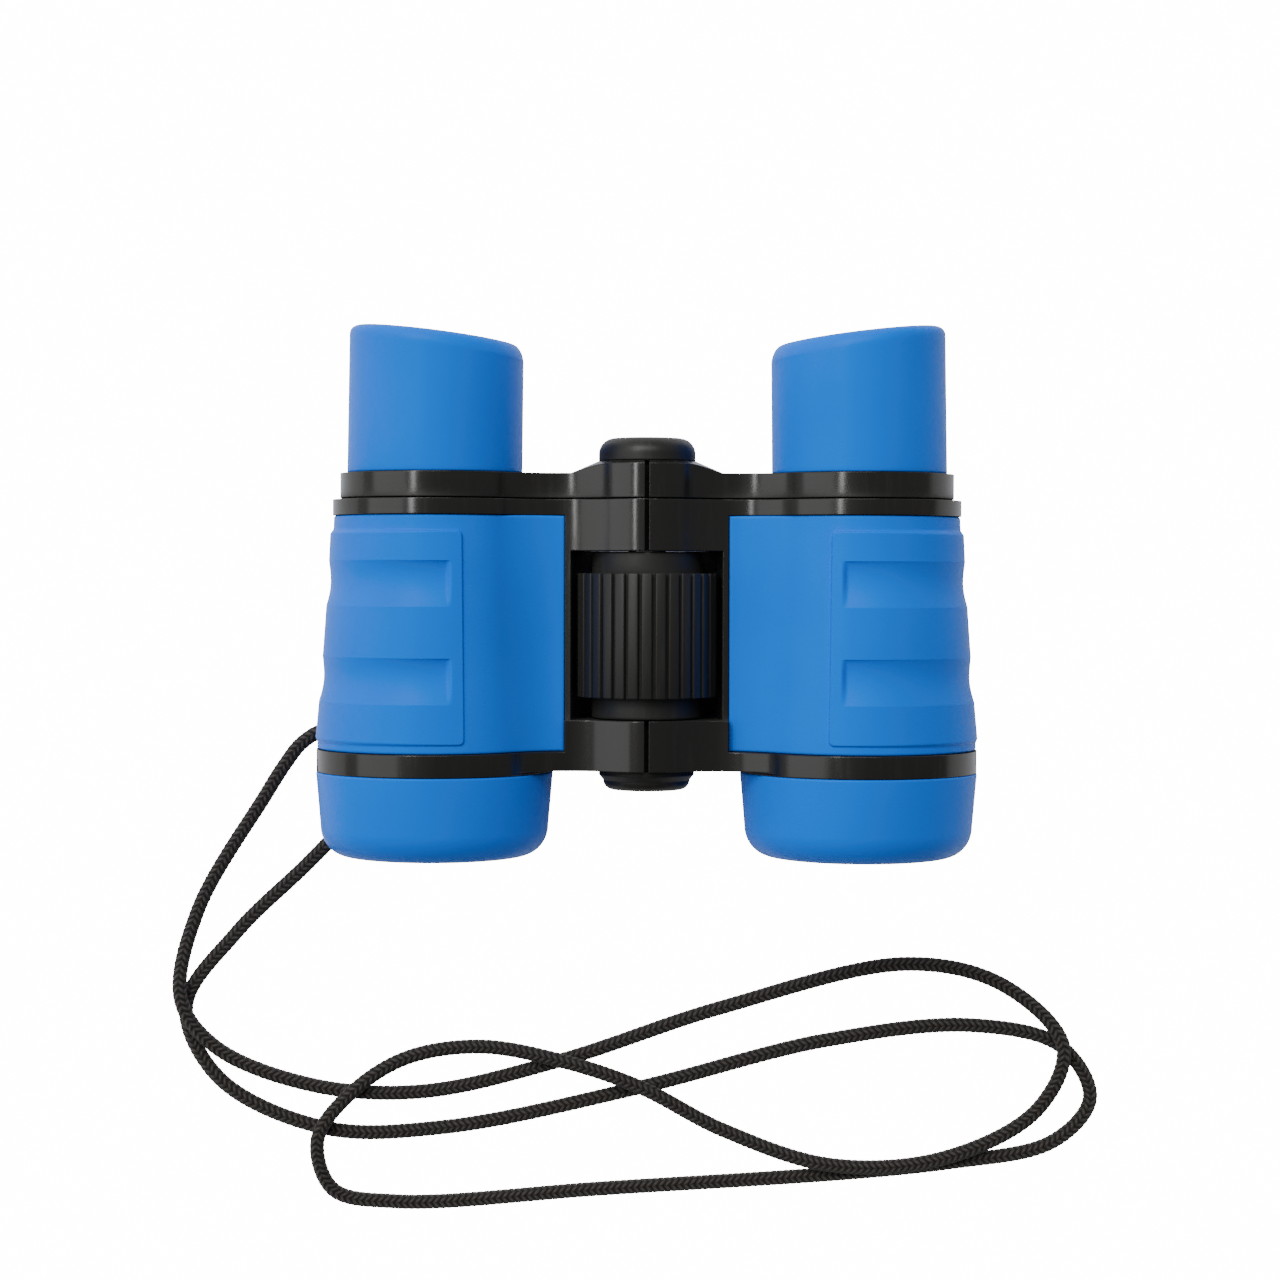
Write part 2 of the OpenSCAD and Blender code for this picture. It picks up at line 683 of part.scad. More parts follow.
module bottom_cap() {
    color([0.06, 0.06, 0.065]) translate([0, y_lower_lug - fit, 0]) mirror([0, 1, 0]) turned(hinge_at)
        cap_outline(bottom_cap_r, bottom_cap_end_r, bottom_cap_len, bottom_cap_round, rod_r + free);
}

// Point on a smooth curve through four points, at a share t of the way from b to c
function smooth(a, b, c, d, t) =
    let (ab = sqrt(norm(b - a)), bc = sqrt(norm(c - b)), cd = sqrt(norm(d - c)),
         m = bc * ((b - a) / ab - (c - a) / (ab + bc)) + (c - b),
         n = bc * ((d - c) / cd - (d - b) / (bc + cd)) + (c - b))
    (2 * (b - c) + m + n) * pow(t, 3) + (3 * (c - b) - 2 * m - n) * t * t + m * t + b;

function curve(route, steps) =
    let (last = len(route) - 1,
         before = 2 * route[0] - route[1], after = 2 * route[last] - route[last - 1])
    concat([for (i = [0:last - 1], s = [0:steps - 1])
        smooth(i == 0 ? before : route[i - 1], route[i], route[i + 1],
               i == last - 1 ? after : route[i + 2], s / steps)], [route[last]]);

function unit(v) = v / norm(v);

module neck_cord() {
    line = curve(cord_route, cord_steps);
    last = len(line) - 1;
    rings = [for (i = [0:last])
        let (way = unit(line[min(last, i + 1)] - line[max(0, i - 1)]),
             side = unit(cross(way, [0, 0, 1])), lift = cross(side, way))
        for (k = [0:cord_sides - 1]) let (a = 360 * (k + 0.5) / cord_sides)
            line[i] + cord_z * (cos(a) * side + sin(a) * lift)];
    skin = [for (i = [0:last - 1], k = [0:cord_sides - 1])
        let (n = (k + 1) % cord_sides, at = i * cord_sides)
        each [[at + k, at + cord_sides + k, at + n],
              [at + n, at + cord_sides + k, at + cord_sides + n]]];
    caps = [[for (k = [0:cord_sides - 1]) k],
            [for (k = [cord_sides - 1:-1:0]) last * cord_sides + k]];
    color([0.03, 0.03, 0.035]) polyhedron(rings, concat(skin, caps), convexity = 10);
}

// Barrel knot that joins the two ends of the cord: wraps side by side around the ends
module cord_knot() {
    wraps = 3;
    wrap_r = cord_d * 0.8;
    knot_gap = 0.35;
    start = cord_route[0];
    stop = cord_route[len(cord_route) - 1];
    way = start - stop;
    turn = atan2(way.y, way.x);
    tilt = acos(way.z / norm(way));
    span = norm(way) - 2 * knot_gap;
    color([0.03, 0.03, 0.035]) translate((start + stop) / 2) rotate([0, tilt, turn]) rotate_extrude() {
        translate([0, -span / 2]) square([cord_z, span]);
        for (i = [0:wraps - 1])
            translate([wrap_r, (i - (wraps - 1) / 2) * cord_d * 0.95]) circle(cord_z);
        translate([0, -(wraps - 1) / 2 * cord_d]) square([wrap_r, (wraps - 1) * cord_d]);
    }
}

barrel_housing(LEFT);  // left_barrel_housing
barrel_housing(RIGHT);  // right_barrel_housing
grip_armour(LEFT);  // left_grip_armour
grip_armour(RIGHT);  // right_grip_armour
objective_rim(LEFT);  // left_objective_rim
objective_rim(RIGHT);  // right_objective_rim
objective_lens(LEFT);  // left_objective_lens
objective_lens(RIGHT);  // right_objective_lens
objective_ring(LEFT);  // left_objective_ring
objective_ring(RIGHT);  // right_objective_ring
strap_eye(LEFT);  // left_strap_eye
strap_eye(RIGHT);  // right_strap_eye
eyepiece_arm(LEFT);  // left_eyepiece_arm
eyepiece_arm(RIGHT);  // right_eyepiece_arm
eyepiece_lens(LEFT);  // left_eyepiece_lens
eyepiece_lens(RIGHT);  // right_eyepiece_lens
eyepiece_ring(LEFT);  // left_eyepiece_ring
eyepiece_ring(RIGHT);  // right_eyepiece_ring
eyecup(LEFT);  // left_eyecup
eyecup(RIGHT);  // right_eyecup
focus_wheel();
focus_screw();
retaining_washer();
retaining_screw();
top_cap();
bottom_cap();
neck_cord();
cord_knot();
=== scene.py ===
# Toy binoculars with blue rubber grips, a ribbed focus wheel and a braided neck cord.
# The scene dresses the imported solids. Lengths are in millimetres until a mesh is made.

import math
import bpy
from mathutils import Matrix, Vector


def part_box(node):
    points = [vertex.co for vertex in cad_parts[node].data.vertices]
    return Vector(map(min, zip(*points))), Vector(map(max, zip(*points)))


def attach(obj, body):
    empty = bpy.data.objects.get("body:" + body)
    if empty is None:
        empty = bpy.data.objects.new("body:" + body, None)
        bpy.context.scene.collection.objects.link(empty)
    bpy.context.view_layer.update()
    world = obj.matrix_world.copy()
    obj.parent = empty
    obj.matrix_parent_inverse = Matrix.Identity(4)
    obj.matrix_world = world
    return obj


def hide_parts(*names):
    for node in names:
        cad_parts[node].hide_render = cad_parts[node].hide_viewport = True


bl_info = {
    "name": "Toy binoculars",
    "version": (1, 0, 0),
    "blender": (4, 5, 0),
    "location": "3D View > Sidebar > Binoculars",
    "description": "Dresses toy binoculars with rubber, plastic, glass and a braided cord",
    "category": "Object",
}

import bmesh
import bpy
from bpy.props import FloatProperty, FloatVectorProperty, IntProperty, PointerProperty
from bpy.types import NodeSocket, Operator, Panel, PropertyGroup
from mathutils import Matrix, Vector

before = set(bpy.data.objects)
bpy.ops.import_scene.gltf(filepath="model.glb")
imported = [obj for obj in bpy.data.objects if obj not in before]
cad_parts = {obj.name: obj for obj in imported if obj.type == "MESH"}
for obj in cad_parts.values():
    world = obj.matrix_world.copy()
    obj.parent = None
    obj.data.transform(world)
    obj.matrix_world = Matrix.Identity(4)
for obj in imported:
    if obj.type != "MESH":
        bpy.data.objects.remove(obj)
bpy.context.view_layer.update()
MM = 0.001
UP = Vector((0, 0, 1))
ALONG_BARRELS = Vector((0, 1, 0))

# The sides, with the sign of X on each
SIDES = {"left": -1, "right": 1}


def solid_span(node):
    """Lowest and highest corner of a solid, in millimetres."""
    low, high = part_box(node)
    return low / MM, high / MM


# Places that the solids give
RIM_LOW, RIM_HIGH = solid_span("left_objective_rim")
ARMOUR_LOW, ARMOUR_HIGH = solid_span("left_grip_armour")
CUP_LOW, CUP_HIGH = solid_span("left_eyecup")
WHEEL_LOW, WHEEL_HIGH = solid_span("focus_wheel")
WHEEL_MIDDLE = (WHEEL_LOW.y + WHEEL_HIGH.y) / 2
HALF_SPACING = -(RIM_LOW.x + RIM_HIGH.x) / 2
AXIS_Z = (RIM_LOW.z + RIM_HIGH.z) / 2
HINGE_Z = (WHEEL_LOW.z + WHEEL_HIGH.z) / 2

# Heights of the cord's centre line, on the floor and over another strand
CORD_Z = 1.05
OVER_Z = 3.4
STRAP_EYE = (-48.779, -27.6, 4.221)


def by_eye(x, y, z):
    """A place given from the middle of the strap eye."""
    return (STRAP_EYE[0] + x, STRAP_EYE[1] + y, STRAP_EYE[2] + z)


# Route of the cord's centre line, from the knot through the strap eye and back to the knot
CORD_ROUTE = [
    by_eye(-0.8, -6.2, -0.6), STRAP_EYE, by_eye(-1.9, 3.2, 0.2), by_eye(-4.8, 4, 0),
    by_eye(-8.5, 1.9, -0.7), by_eye(-11.2, -1.4, -1.5), (-63.6, -34.6, 1.8), (-75, -54, 1.3),
    (-77.5, -68.5, OVER_Z), (-71.9, -76.7, 2.2), (-56, -83.2, 1.2), (-37.6, -84.3, CORD_Z),
    (-14.3, -79, CORD_Z), (12.4, -70.1, CORD_Z), (44, -62.6, CORD_Z), (60, -66.2, 1.3),
    (69.6, -76, OVER_Z), (65.4, -86.8, 2.6), (50, -94.8, 2.95), (31, -96.1, 2.85), (13, -90.4, 2.3),
    (-1, -83, OVER_Z), (-14.3, -78.6, OVER_Z), (-28, -76.6, 1.7), (-40.5, -78.7, 1.8),
    (-49.6, -84.6, OVER_Z), (-54.7, -92, OVER_Z), (-52.3, -100.7, 1.6), (-42, -102.8, 1.15),
    (-8, -100.6, CORD_Z), (50, -96.1, CORD_Z), (68.6, -92.2, CORD_Z), (74.5, -85, CORD_Z),
    (69.6, -76.4, CORD_Z), (55, -72.9, CORD_Z), (30, -75.5, CORD_Z), (-1, -83.5, CORD_Z),
    (-34, -90.3, CORD_Z), (-54, -90.4, CORD_Z), (-71.5, -82.1, CORD_Z), (-77, -70, CORD_Z),
    (-68.6, -57.7, CORD_Z), (-57.1, -46.5, 1.5), by_eye(-2.8, -13.3, -1.6),
]


# Settings that a user would change

COLOUR = {"subtype": "COLOR", "min": 0, "max": 1}
POWER = {"unit": "POWER", "min": 0, "max": 50}


class RubberSettings(PropertyGroup):
    """Blue rubber of the grips, eyecups and rims."""

    colour: FloatVectorProperty(
        name="Rubber colour", description="Colour of the clean rubber", default=(0.0, 0.172, 0.87), **COLOUR)
    shade: FloatVectorProperty(
        name="Rubber shade", description="Colour where the rubber is a little darker",
        default=(0.0, 0.16, 0.82), **COLOUR)
    grain: FloatProperty(
        name="Grain height", description="Height of the moulded grain in millimetres",
        default=0.012, min=0, max=0.1)


class PlasticSettings(PropertyGroup):
    """Black plastic of the shells, wheel and caps."""

    gloss_colour: FloatVectorProperty(
        name="Gloss colour", description="Colour of the glossy shells",
        default=(0.0085, 0.0082, 0.0074), **COLOUR)
    satin_colour: FloatVectorProperty(
        name="Satin colour", description="Colour of the satin wheel and caps",
        default=(0.014, 0.0137, 0.0124), **COLOUR)
    edge: FloatProperty(
        name="Edge radius", description="Radius of the softened edges",
        default=0.00022, min=0, max=0.001, unit="LENGTH", precision=5)


class GripSettings(PropertyGroup):
    """Shape of the raised panel and its finger grooves, in millimetres."""

    rise_top: FloatProperty(
        name="Rise at top", description="Height of the panel at its top edge", default=0.5, min=0.3, max=0.8)
    rise_low: FloatProperty(
        name="Rise at bottom", description="Height of the panel at its lower edge",
        default=0.35, min=0.2, max=0.6)
    swell: FloatProperty(
        name="Swell", description="How far the outer side swells out toward its lower edge",
        default=1.1, min=0.6, max=1.2)
    groove_len: FloatProperty(
        name="Groove length", description="Length of a finger groove", default=7.2, min=5, max=8)
    groove_depth: FloatProperty(
        name="Groove depth", description="Depth of a groove near the crown", default=0.8, min=0.5, max=1.0)
    edge: FloatProperty(
        name="Edge radius", description="Radius of the rubber's outer edges", default=0.4, min=0.1, max=0.6)


class EyecupSettings(PropertyGroup):
    """Shape of the eyecups, in millimetres."""

    drop: FloatProperty(
        name="Drop", description="How much lower the cup is on its inner side", default=3.4, min=2, max=5)
    lean: FloatProperty(
        name="Lean", description="How far the lip leans toward the middle", default=0.3, min=0, max=0.6)


class WheelSettings(PropertyGroup):
    """Shape of the ribbed focus wheel, in millimetres."""

    ribs: IntProperty(
        name="Ribs", description="Number of ribs around the wheel", default=32, min=24, max=40)
    rib_len: FloatProperty(
        name="Rib length", description="Length of the ribbed part", default=19.6, min=16, max=21)
    groove: FloatProperty(
        name="Groove width", description="Gap between two ribs", default=0.6, min=0.3, max=1)


class CordSettings(PropertyGroup):
    """Neck cord, in millimetres."""

    diameter: FloatProperty(
        name="Diameter", description="Diameter of the cord over its knit", default=2.3, min=1.8, max=2.4)
    pitch: FloatProperty(
        name="Stitch pitch", description="Length of one stitch along the cord",
        default=1.05, min=0.8, max=1.6)
    columns: IntProperty(
        name="Stitch columns", description="Columns of stitches around the cord", default=4, min=2, max=5)
    colour: FloatVectorProperty(
        name="Thread colour", description="Colour of the thread", default=(0.012, 0.0103, 0.0092), **COLOUR)


class StageSettings(PropertyGroup):
    """Camera, floor and light."""

    camera_height: FloatProperty(
        name="Camera height", description="Height of the camera over the floor",
        default=0.46, min=0.3, max=1, unit="LENGTH")
    lens: FloatProperty(
        name="Lens", description="Focal length on a 36 mm wide sensor",
        default=77.3, min=35, max=200, unit="CAMERA")
    floor_colour: FloatVectorProperty(
        name="Floor colour", description="Colour of the floor", default=(0.9, 0.9, 0.9), **COLOUR)
    key_power: FloatProperty(
        name="Key light", description="Power of the soft light on the left", default=2.9, **POWER)
    back_power: FloatProperty(
        name="Back light", description="Power of the soft light beyond the eyecups", default=4.5, **POWER)
    card_power: FloatProperty(
        name="Side card", description="Power of the pale card low on the left", default=1.1, **POWER)


class BinocularsSettings(PropertyGroup):
    """All settings of the binoculars."""

    rubber: PointerProperty(type=RubberSettings)
    plastic: PointerProperty(type=PlasticSettings)
    grip: PointerProperty(type=GripSettings)
    eyecup: PointerProperty(type=EyecupSettings)
    wheel: PointerProperty(type=WheelSettings)
    cord: PointerProperty(type=CordSettings)
    stage: PointerProperty(type=StageSettings)


# Node helpers

def feed(tree, node, inputs):
    """Sets or links a node's inputs, named or numbered."""
    for name, value in inputs.items():
        if isinstance(value, NodeSocket):
            tree.links.new(value, node.inputs[name])
        else:
            node.inputs[name].default_value = value


def add_node(tree, kind, inputs=None, **settings):
    """Adds a node with its settings, and with values or links for its inputs."""
    made = tree.nodes.new(kind)
    for name, value in settings.items():
        setattr(made, name, value)
    feed(tree, made, inputs or {})
    return made


def output_of(tree, kind, inputs=None, **settings):
    """Adds a node and returns its first output."""
    return add_node(tree, kind, inputs, **settings).outputs[0]


def math_node(tree, operation, *values):
    return output_of(tree, "ShaderNodeMath", dict(enumerate(values)), operation=operation)


def remap(tree, value, source, target=(0.0, 1.0)):
    """Value taken from one range to another, and held inside it."""
    ends = {"From Min": source[0], "From Max": source[1], "To Min": target[0], "To Max": target[1]}
    return output_of(tree, "ShaderNodeMapRange", {"Value": value, **ends})


def between(tree, share, low, high):
    """Value from low to high as the share goes from 0 to 1."""
    return remap(tree, share, (0.0, 1.0), (low, high))


def mixed(tree, share, first, second):
    """Colour between two others, which are inputs 6 and 7 of the node."""
    inputs = {0: share, 6: (*first, 1), 7: (*second, 1)}
    return add_node(tree, "ShaderNodeMix", inputs, data_type="RGBA").outputs[2]


def noise(tree, place, scale, detail, roughness=0.5):
    inputs = {"Vector": place, "Scale": scale, "Detail": detail, "Roughness": roughness}
    return output_of(tree, "ShaderNodeTexNoise", inputs)


def bump(tree, height, strength, distance, **more):
    """Normal of a surface with a relief of that distance in millimetres."""
    inputs = {"Height": height, "Strength": strength, "Distance": distance * MM, **more}
    return output_of(tree, "ShaderNodeBump", inputs)


def wave(tree, phase, count):
    """A smooth wave from 0 to 1, so many times in each unit of the phase."""
    turned = math_node(tree, "COSINE", math_node(tree, "MULTIPLY", phase, 2 * math.pi * count))
    return math_node(tree, "MULTIPLY_ADD", turned, 0.5, 0.5)


def coordinates(tree, kind="Object"):
    return add_node(tree, "ShaderNodeTexCoord").outputs[kind]


def separate(tree, vector):
    return add_node(tree, "ShaderNodeSeparateXYZ", {0: vector}).outputs


def seen_by_camera(tree):
    return add_node(tree, "ShaderNodeLightPath").outputs["Is Camera Ray"]


def made_once(library, name):
    """Makes something the first time and finds it after that. Its maker is given the name first."""
    def with_maker(make):
        def find_or_make(*given):
            found = getattr(bpy.data, library).get(name)
            return make(name, *given) if found is None else found
        return find_or_make
    return with_maker


# Node groups

FLOAT = "NodeSocketFloat"
VECTOR = "NodeSocketVector"
GEOMETRY = "NodeSocketGeometry"


def new_group(name, inputs, outputs, kind="ShaderNodeTree"):
    """An empty node group, with what it is given and the node that takes its results."""
    tree = bpy.data.node_groups.new(name, kind)
    for label, socket_type, *default in inputs:
        socket = tree.interface.new_socket(name=label, in_out="INPUT", socket_type=socket_type)
        if default:
            socket.default_value = default[0]
    for label, socket_type in outputs:
        tree.interface.new_socket(name=label, in_out="OUTPUT", socket_type=socket_type)
    return tree, add_node(tree, "NodeGroupInput").outputs, add_node(tree, "NodeGroupOutput")


def use_group(tree, group, inputs):
    """Places a node group in a material and returns its outputs."""
    return add_node(tree, "ShaderNodeGroup", inputs, node_tree=group).outputs


@made_once("node_groups", "moulded_grain")
def grain_group(name):
    """Fine moulded grain, with a broad change of tone and a mask of handling marks."""
    tree, given, result = new_group(
        name, [("Place", VECTOR), ("Grain Scale", FLOAT, 4000.0), ("Tone Scale", FLOAT, 60.0)],
        [("Height", FLOAT), ("Tone", FLOAT), ("Marks", FLOAT)])
    place = given["Place"]
    fine = noise(tree, place, given["Grain Scale"], detail=2.0)
    broad = noise(tree, place, given["Tone Scale"], detail=3.0)
    drawn_out = output_of(tree, "ShaderNodeMapping", {"Vector": place, "Scale": (9.0, 1.0, 9.0)})
    streaks = noise(tree, drawn_out, scale=70.0, detail=4.0, roughness=0.7)
    feed(tree, result, {
        "Height": fine,
        "Tone": remap(tree, broad, source=(0.35, 0.65)),
        "Marks": remap(tree, streaks, source=(0.52, 0.75)),
    })
    return tree


@made_once("node_groups", "soft_edges")
def soft_edge_group(name):
    """Normals that are rounded over along sharp edges."""
    tree, given, result = new_group(name, [("Radius", FLOAT, 0.0002)], [("Normal", VECTOR)])
    rounded_over = output_of(tree, "ShaderNodeBevel", {"Radius": given["Radius"]}, samples=6)
    feed(tree, result, {"Normal": rounded_over})
    return tree


@made_once("node_groups", "dark_crevices")
def crevice_group(name):
    """Mask that falls to 0 in narrow gaps and pockets, where little light comes in."""
    tree, given, result = new_group(name, [("Reach", FLOAT, 0.006)], [("Open", FLOAT)])
    seen = add_node(tree, "ShaderNodeAmbientOcclusion", {"Distance": given["Reach"]}, samples=8)
    feed(tree, result, {"Open": remap(tree, seen.outputs["AO"], source=(0.35, 0.9))})
    return tree


# Materials

CREVICE_REACH = 6.0
CREVICE_ROUGH = 0.9
WORN_LIGHTER = 1.6
WORN_ROUGHER = 0.08
STITCH_SLANT = 0.75
FLANK_HEIGHT = 0.4
THREADS_PER_STITCH = 5.0
THREAD_HEIGHT = 0.2
FUZZ_HEIGHT = 0.5
# Factors on the thread colour: painted shade in the grooves between stitches, and a painted highlight on the
# stitch crests
GROOVE_PAINTED_SHADE = 0.15
CREST_PAINTED_HIGHLIGHT = 6


def new_material(name):
    """An empty material with a Principled shader, and the tree that it is in."""
    made = bpy.data.materials.new(name)
    made.use_nodes = True
    tree = made.node_tree
    tree.nodes.clear()
    shader = add_node(tree, "ShaderNodeBsdfPrincipled")
    add_node(tree, "ShaderNodeOutputMaterial", {"Surface": shader.outputs[0]})
    return made, tree, shader


def moulded(tree, place, grain_scale, tone_scale):
    """Height, tone and marks of a moulded surface."""
    inputs = {"Place": place, "Grain Scale": grain_scale, "Tone Scale": tone_scale}
    return use_group(tree, grain_group(), inputs)


@made_once("materials", "azure_rubber")
def rubber_material(name, settings):
    """Matte blue rubber with a fine grain."""
    made, tree, shader = new_material(name)
    grain = moulded(tree, coordinates(tree), grain_scale=5200.0, tone_scale=45.0)
    feed(tree, shader, {
        "Base Color": mixed(tree, grain["Tone"], settings.colour, settings.shade),
        "Roughness": between(tree, grain["Tone"], low=0.34, high=0.4),
        "Normal": bump(tree, grain["Height"], strength=0.1, distance=settings.grain),
        "Specular IOR Level": 0.16,
        "Specular Tint": (0.15, 0.6, 1.0, 1),
    })
    return made


def plastic_material(name, colour, rough, gleam, grain_scale, grain_height, edge):
    """Black moulded plastic with softened edges, light handling marks and dull crevices."""
    made, tree, shader = new_material(name)
    grain = moulded(tree, coordinates(tree), grain_scale, tone_scale=90.0)
    softened = use_group(tree, soft_edge_group(), {"Radius": edge})["Normal"]
    open_to_light = use_group(tree, crevice_group(), {"Reach": CREVICE_REACH * MM})["Open"]
    worn = tuple(c * WORN_LIGHTER for c in colour)
    polished = between(tree, grain["Marks"], rough, rough + WORN_ROUGHER)
    feed(tree, shader, {
        "Base Color": mixed(tree, grain["Marks"], colour, worn),
        "Roughness": between(tree, open_to_light, CREVICE_ROUGH, polished),
        "Normal": bump(tree, grain["Height"], strength=0.12, distance=grain_height, Normal=softened),
        "Specular IOR Level": gleam,
    })
    return made


@made_once("materials", "gloss_black_shell")
def gloss_material(name, settings):
    return plastic_material(
        name, settings.gloss_colour, rough=0.16, gleam=0.5, grain_scale=900.0, grain_height=0.02,
        edge=settings.edge)


@made_once("materials", "satin_black_moulding")
def satin_material(name, settings):
    return plastic_material(
        name, settings.satin_colour, rough=0.4, gleam=0.34, grain_scale=4500.0, grain_height=0.03,
        edge=settings.edge)


@made_once("materials", "clear_lens")
def lens_material(name):
    """Clear lens with a faint cool tint."""
    made, tree, shader = new_material(name)
    grain = moulded(tree, coordinates(tree), grain_scale=300.0, tone_scale=120.0)
    feed(tree, shader, {
        "Base Color": (0.86, 0.94, 1.0, 1),
        "Roughness": between(tree, grain["Marks"], low=0.02, high=0.07),
        "IOR": 1.52,
        "Transmission Weight": 1.0,
        "Coat Weight": 0.4,
        "Coat Tint": (0.75, 0.8, 1.0, 1),
    })
    return made


@made_once("materials", "zinc_plated_steel")
def steel_material(name):
    """Zinc-plated steel with fine turning marks along the rod."""
    made, tree, shader = new_material(name)
    turned = output_of(tree, "ShaderNodeMapping", {"Vector": coordinates(tree), "Scale": (1.0, 16.0, 1.0)})
    grain = moulded(tree, turned, grain_scale=900.0, tone_scale=150.0)
    feed(tree, shader, {
        "Base Color": mixed(tree, grain["Tone"], (0.55, 0.55, 0.57), (0.66, 0.65, 0.62)),
        "Roughness": between(tree, grain["Marks"], low=0.24, high=0.42),
        "Metallic": 1.0,
        "Normal": bump(tree, grain["Height"], strength=0.2, distance=0.02),
    })
    return made


@made_once("materials", "knitted_cord")
def cord_material(name, settings):
    """Knitted black cord, whose stitches follow its own UV map. Its colour has painted shade in the stitch
    grooves and a painted highlight on the stitch crests.
    """
    made, tree, shader = new_material(name)
    place = separate(tree, coordinates(tree, "UV"))
    from_middle = math_node(tree, "SUBTRACT", math_node(tree, "FRACT", place["X"]), 0.5)
    leg = math_node(tree, "MULTIPLY", math_node(tree, "ABSOLUTE", from_middle), 2.0)
    phase = math_node(tree, "MULTIPLY_ADD", leg, STITCH_SLANT, place["Y"])
    bulge = math_node(tree, "SINE", math_node(tree, "MULTIPLY", leg, math.pi))
    filled = math_node(tree, "MULTIPLY_ADD", bulge, 1 - FLANK_HEIGHT, FLANK_HEIGHT)
    raised = math_node(tree, "MULTIPLY", wave(tree, phase, 1.0), filled)
    threads = wave(tree, phase, THREADS_PER_STITCH)
    height = math_node(tree, "MULTIPLY_ADD", threads, THREAD_HEIGHT, raised)
    fuzz = noise(tree, coordinates(tree), scale=2600.0, detail=3.0)
    fuzzy = math_node(tree, "MULTIPLY_ADD", fuzz, FUZZ_HEIGHT, height)
    # Painted shade and painted highlight: the thread colour is made darker in the stitch grooves and lighter
    # on the crests, following the knit's relief
    deep = tuple(c * GROOVE_PAINTED_SHADE for c in settings.colour)
    high = tuple(c * CREST_PAINTED_HIGHLIGHT for c in settings.colour)
    feed(tree, shader, {
        "Base Color": mixed(tree, raised, deep, high),
        "Roughness": between(tree, fuzz, low=0.55, high=0.8),
        "Normal": bump(tree, fuzzy, strength=1.0, distance=0.2),
        "Specular IOR Level": 0.25,
        "Sheen Weight": 0.1,
    })
    return made


def dress(material, *nodes):
    """Gives CAD solids a material."""
    for name in nodes:
        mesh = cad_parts[name].data
        mesh.materials.clear()
        mesh.materials.append(material)


# Mesh helpers

SAME_POINT = 1e-7
PLASTIC_SHARP = 35.0
RUBBER_SHARP = 50.0
GRIP_SHARP = 60.0


def add_object(name, data):
    made = bpy.data.objects.new(name, data)
    bpy.context.scene.collection.objects.link(made)
    return made


def soften(mesh, sharp):
    """Smooth shading, apart from edges that turn by more than an angle in degrees."""
    mesh.shade_smooth()
    mesh.set_sharp_from_angle(angle=math.radians(sharp))


def new_piece(name, points, faces, material, sharp):
    """A smooth closed piece from points in millimetres."""
    mesh = bpy.data.meshes.new(name)
    mesh.from_pydata([Vector(p) * MM for p in points], [], faces)
    work = bmesh.new()
    work.from_mesh(mesh)
    bmesh.ops.remove_doubles(work, verts=work.verts, dist=SAME_POINT)
    bmesh.ops.recalc_face_normals(work, faces=work.faces)
    work.to_mesh(mesh)
    work.free()
    mesh.materials.append(material)
    soften(mesh, sharp)
    return add_object(name, mesh)


def settle(piece, body, slot, *nodes):
    """Hangs a piece under the empty of the body that it rides on, and hides the solids that it stands in
    for.
    """
    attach(piece, body)
    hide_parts(*nodes)


def make_rubber_pair(settings, kind, body, node, sharp, shape):
    """Makes a rubber piece on each side, from a function that gives its points and faces there."""
    material = rubber_material(settings.rubber)
    for name, side in SIDES.items():
        piece = new_piece(f"{name}_{kind}_rubber", *shape(side), material, sharp)
        settle(piece, f"{name}_{body}", "blue_rubber", f"{name}_{node}")


def lathe(outline, x, z, segments):
    """Points and faces of a closed outline of (radius, Y) turned about a line along Y."""
    points = []
    for i in range(segments):
        turn = 2 * math.pi * i / segments
        points += [(x + r * math.cos(turn), y, z + r * math.sin(turn)) for r, y in outline]
    return points, tube_faces(segments, len(outline), True)


def tube_faces(rows, columns, closed):
    """Faces of a grid of points whose rows are rings, joined end to end if closed."""
    faces = []
    for i in range(rows if closed else rows - 1):
        here = i * columns
        there = (i + 1) % rows * columns
        for k in range(columns):
            n = (k + 1) % columns
            faces.append((here + k, here + n, there + n, there + k))
    return faces


def rounded(corners, steps=6):
    """Outline whose corners, given as (x, y, radius), are replaced by arcs."""
    outline = []
    for i, (x, y, radius) in enumerate(corners):
        here = Vector((x, y))
        if radius == 0:
            outline.append((x, y))
            continue
        back = (Vector(corners[i - 1][:2]) - here).normalized()
        ahead = (Vector(corners[(i + 1) % len(corners)][:2]) - here).normalized()
        half = back.angle(ahead) / 2
        centre = here + (back + ahead).normalized() * radius / math.sin(half)
        start = here + back * radius / math.tan(half) - centre
        stop = here + ahead * radius / math.tan(half) - centre
        for s in range(steps + 1):
            outline.append(centre + start.lerp(stop, s / steps).normalized() * radius)
    return outline


def ramp(value, low, high):
    """Share from 0 at low to 1 at high."""
    return min(1.0, max(0.0, (value - low) / (high - low)))


def eased(value, low, high):
    """Smooth share from 0 at low to 1 at high."""
    t = ramp(value, low, high)
    return t * t * (3 - 2 * t)


def spread(marks, low, high, step, near):
    """Stations from low to high, closer together near each mark."""
    count = round((high - low) / step)
    stations = {low + (high - low) * i / count for i in range(count + 1)}
    for mark in marks:
        stations |= {mark + side * n for n in near for side in (-1, 1)} | {mark}
    ordered = []
    for station in sorted(s for s in stations if low <= s <= high):
        if not ordered or station - ordered[-1] > near[0] * 0.5:
            ordered.append(station)
    ordered[-1] = high
    return ordered


def reaches(points):
    """Length of a line up to each of its points."""
    reach = [0.0]
    for p, q in zip(points, points[1:]):
        reach.append(reach[-1] + (q - p).length)
    return reach


def level_and_upright(way):
    """Level and upright direction across a line that goes one way."""
    side = way.cross(UP).normalized()
    return side, side.cross(way)


# Stage

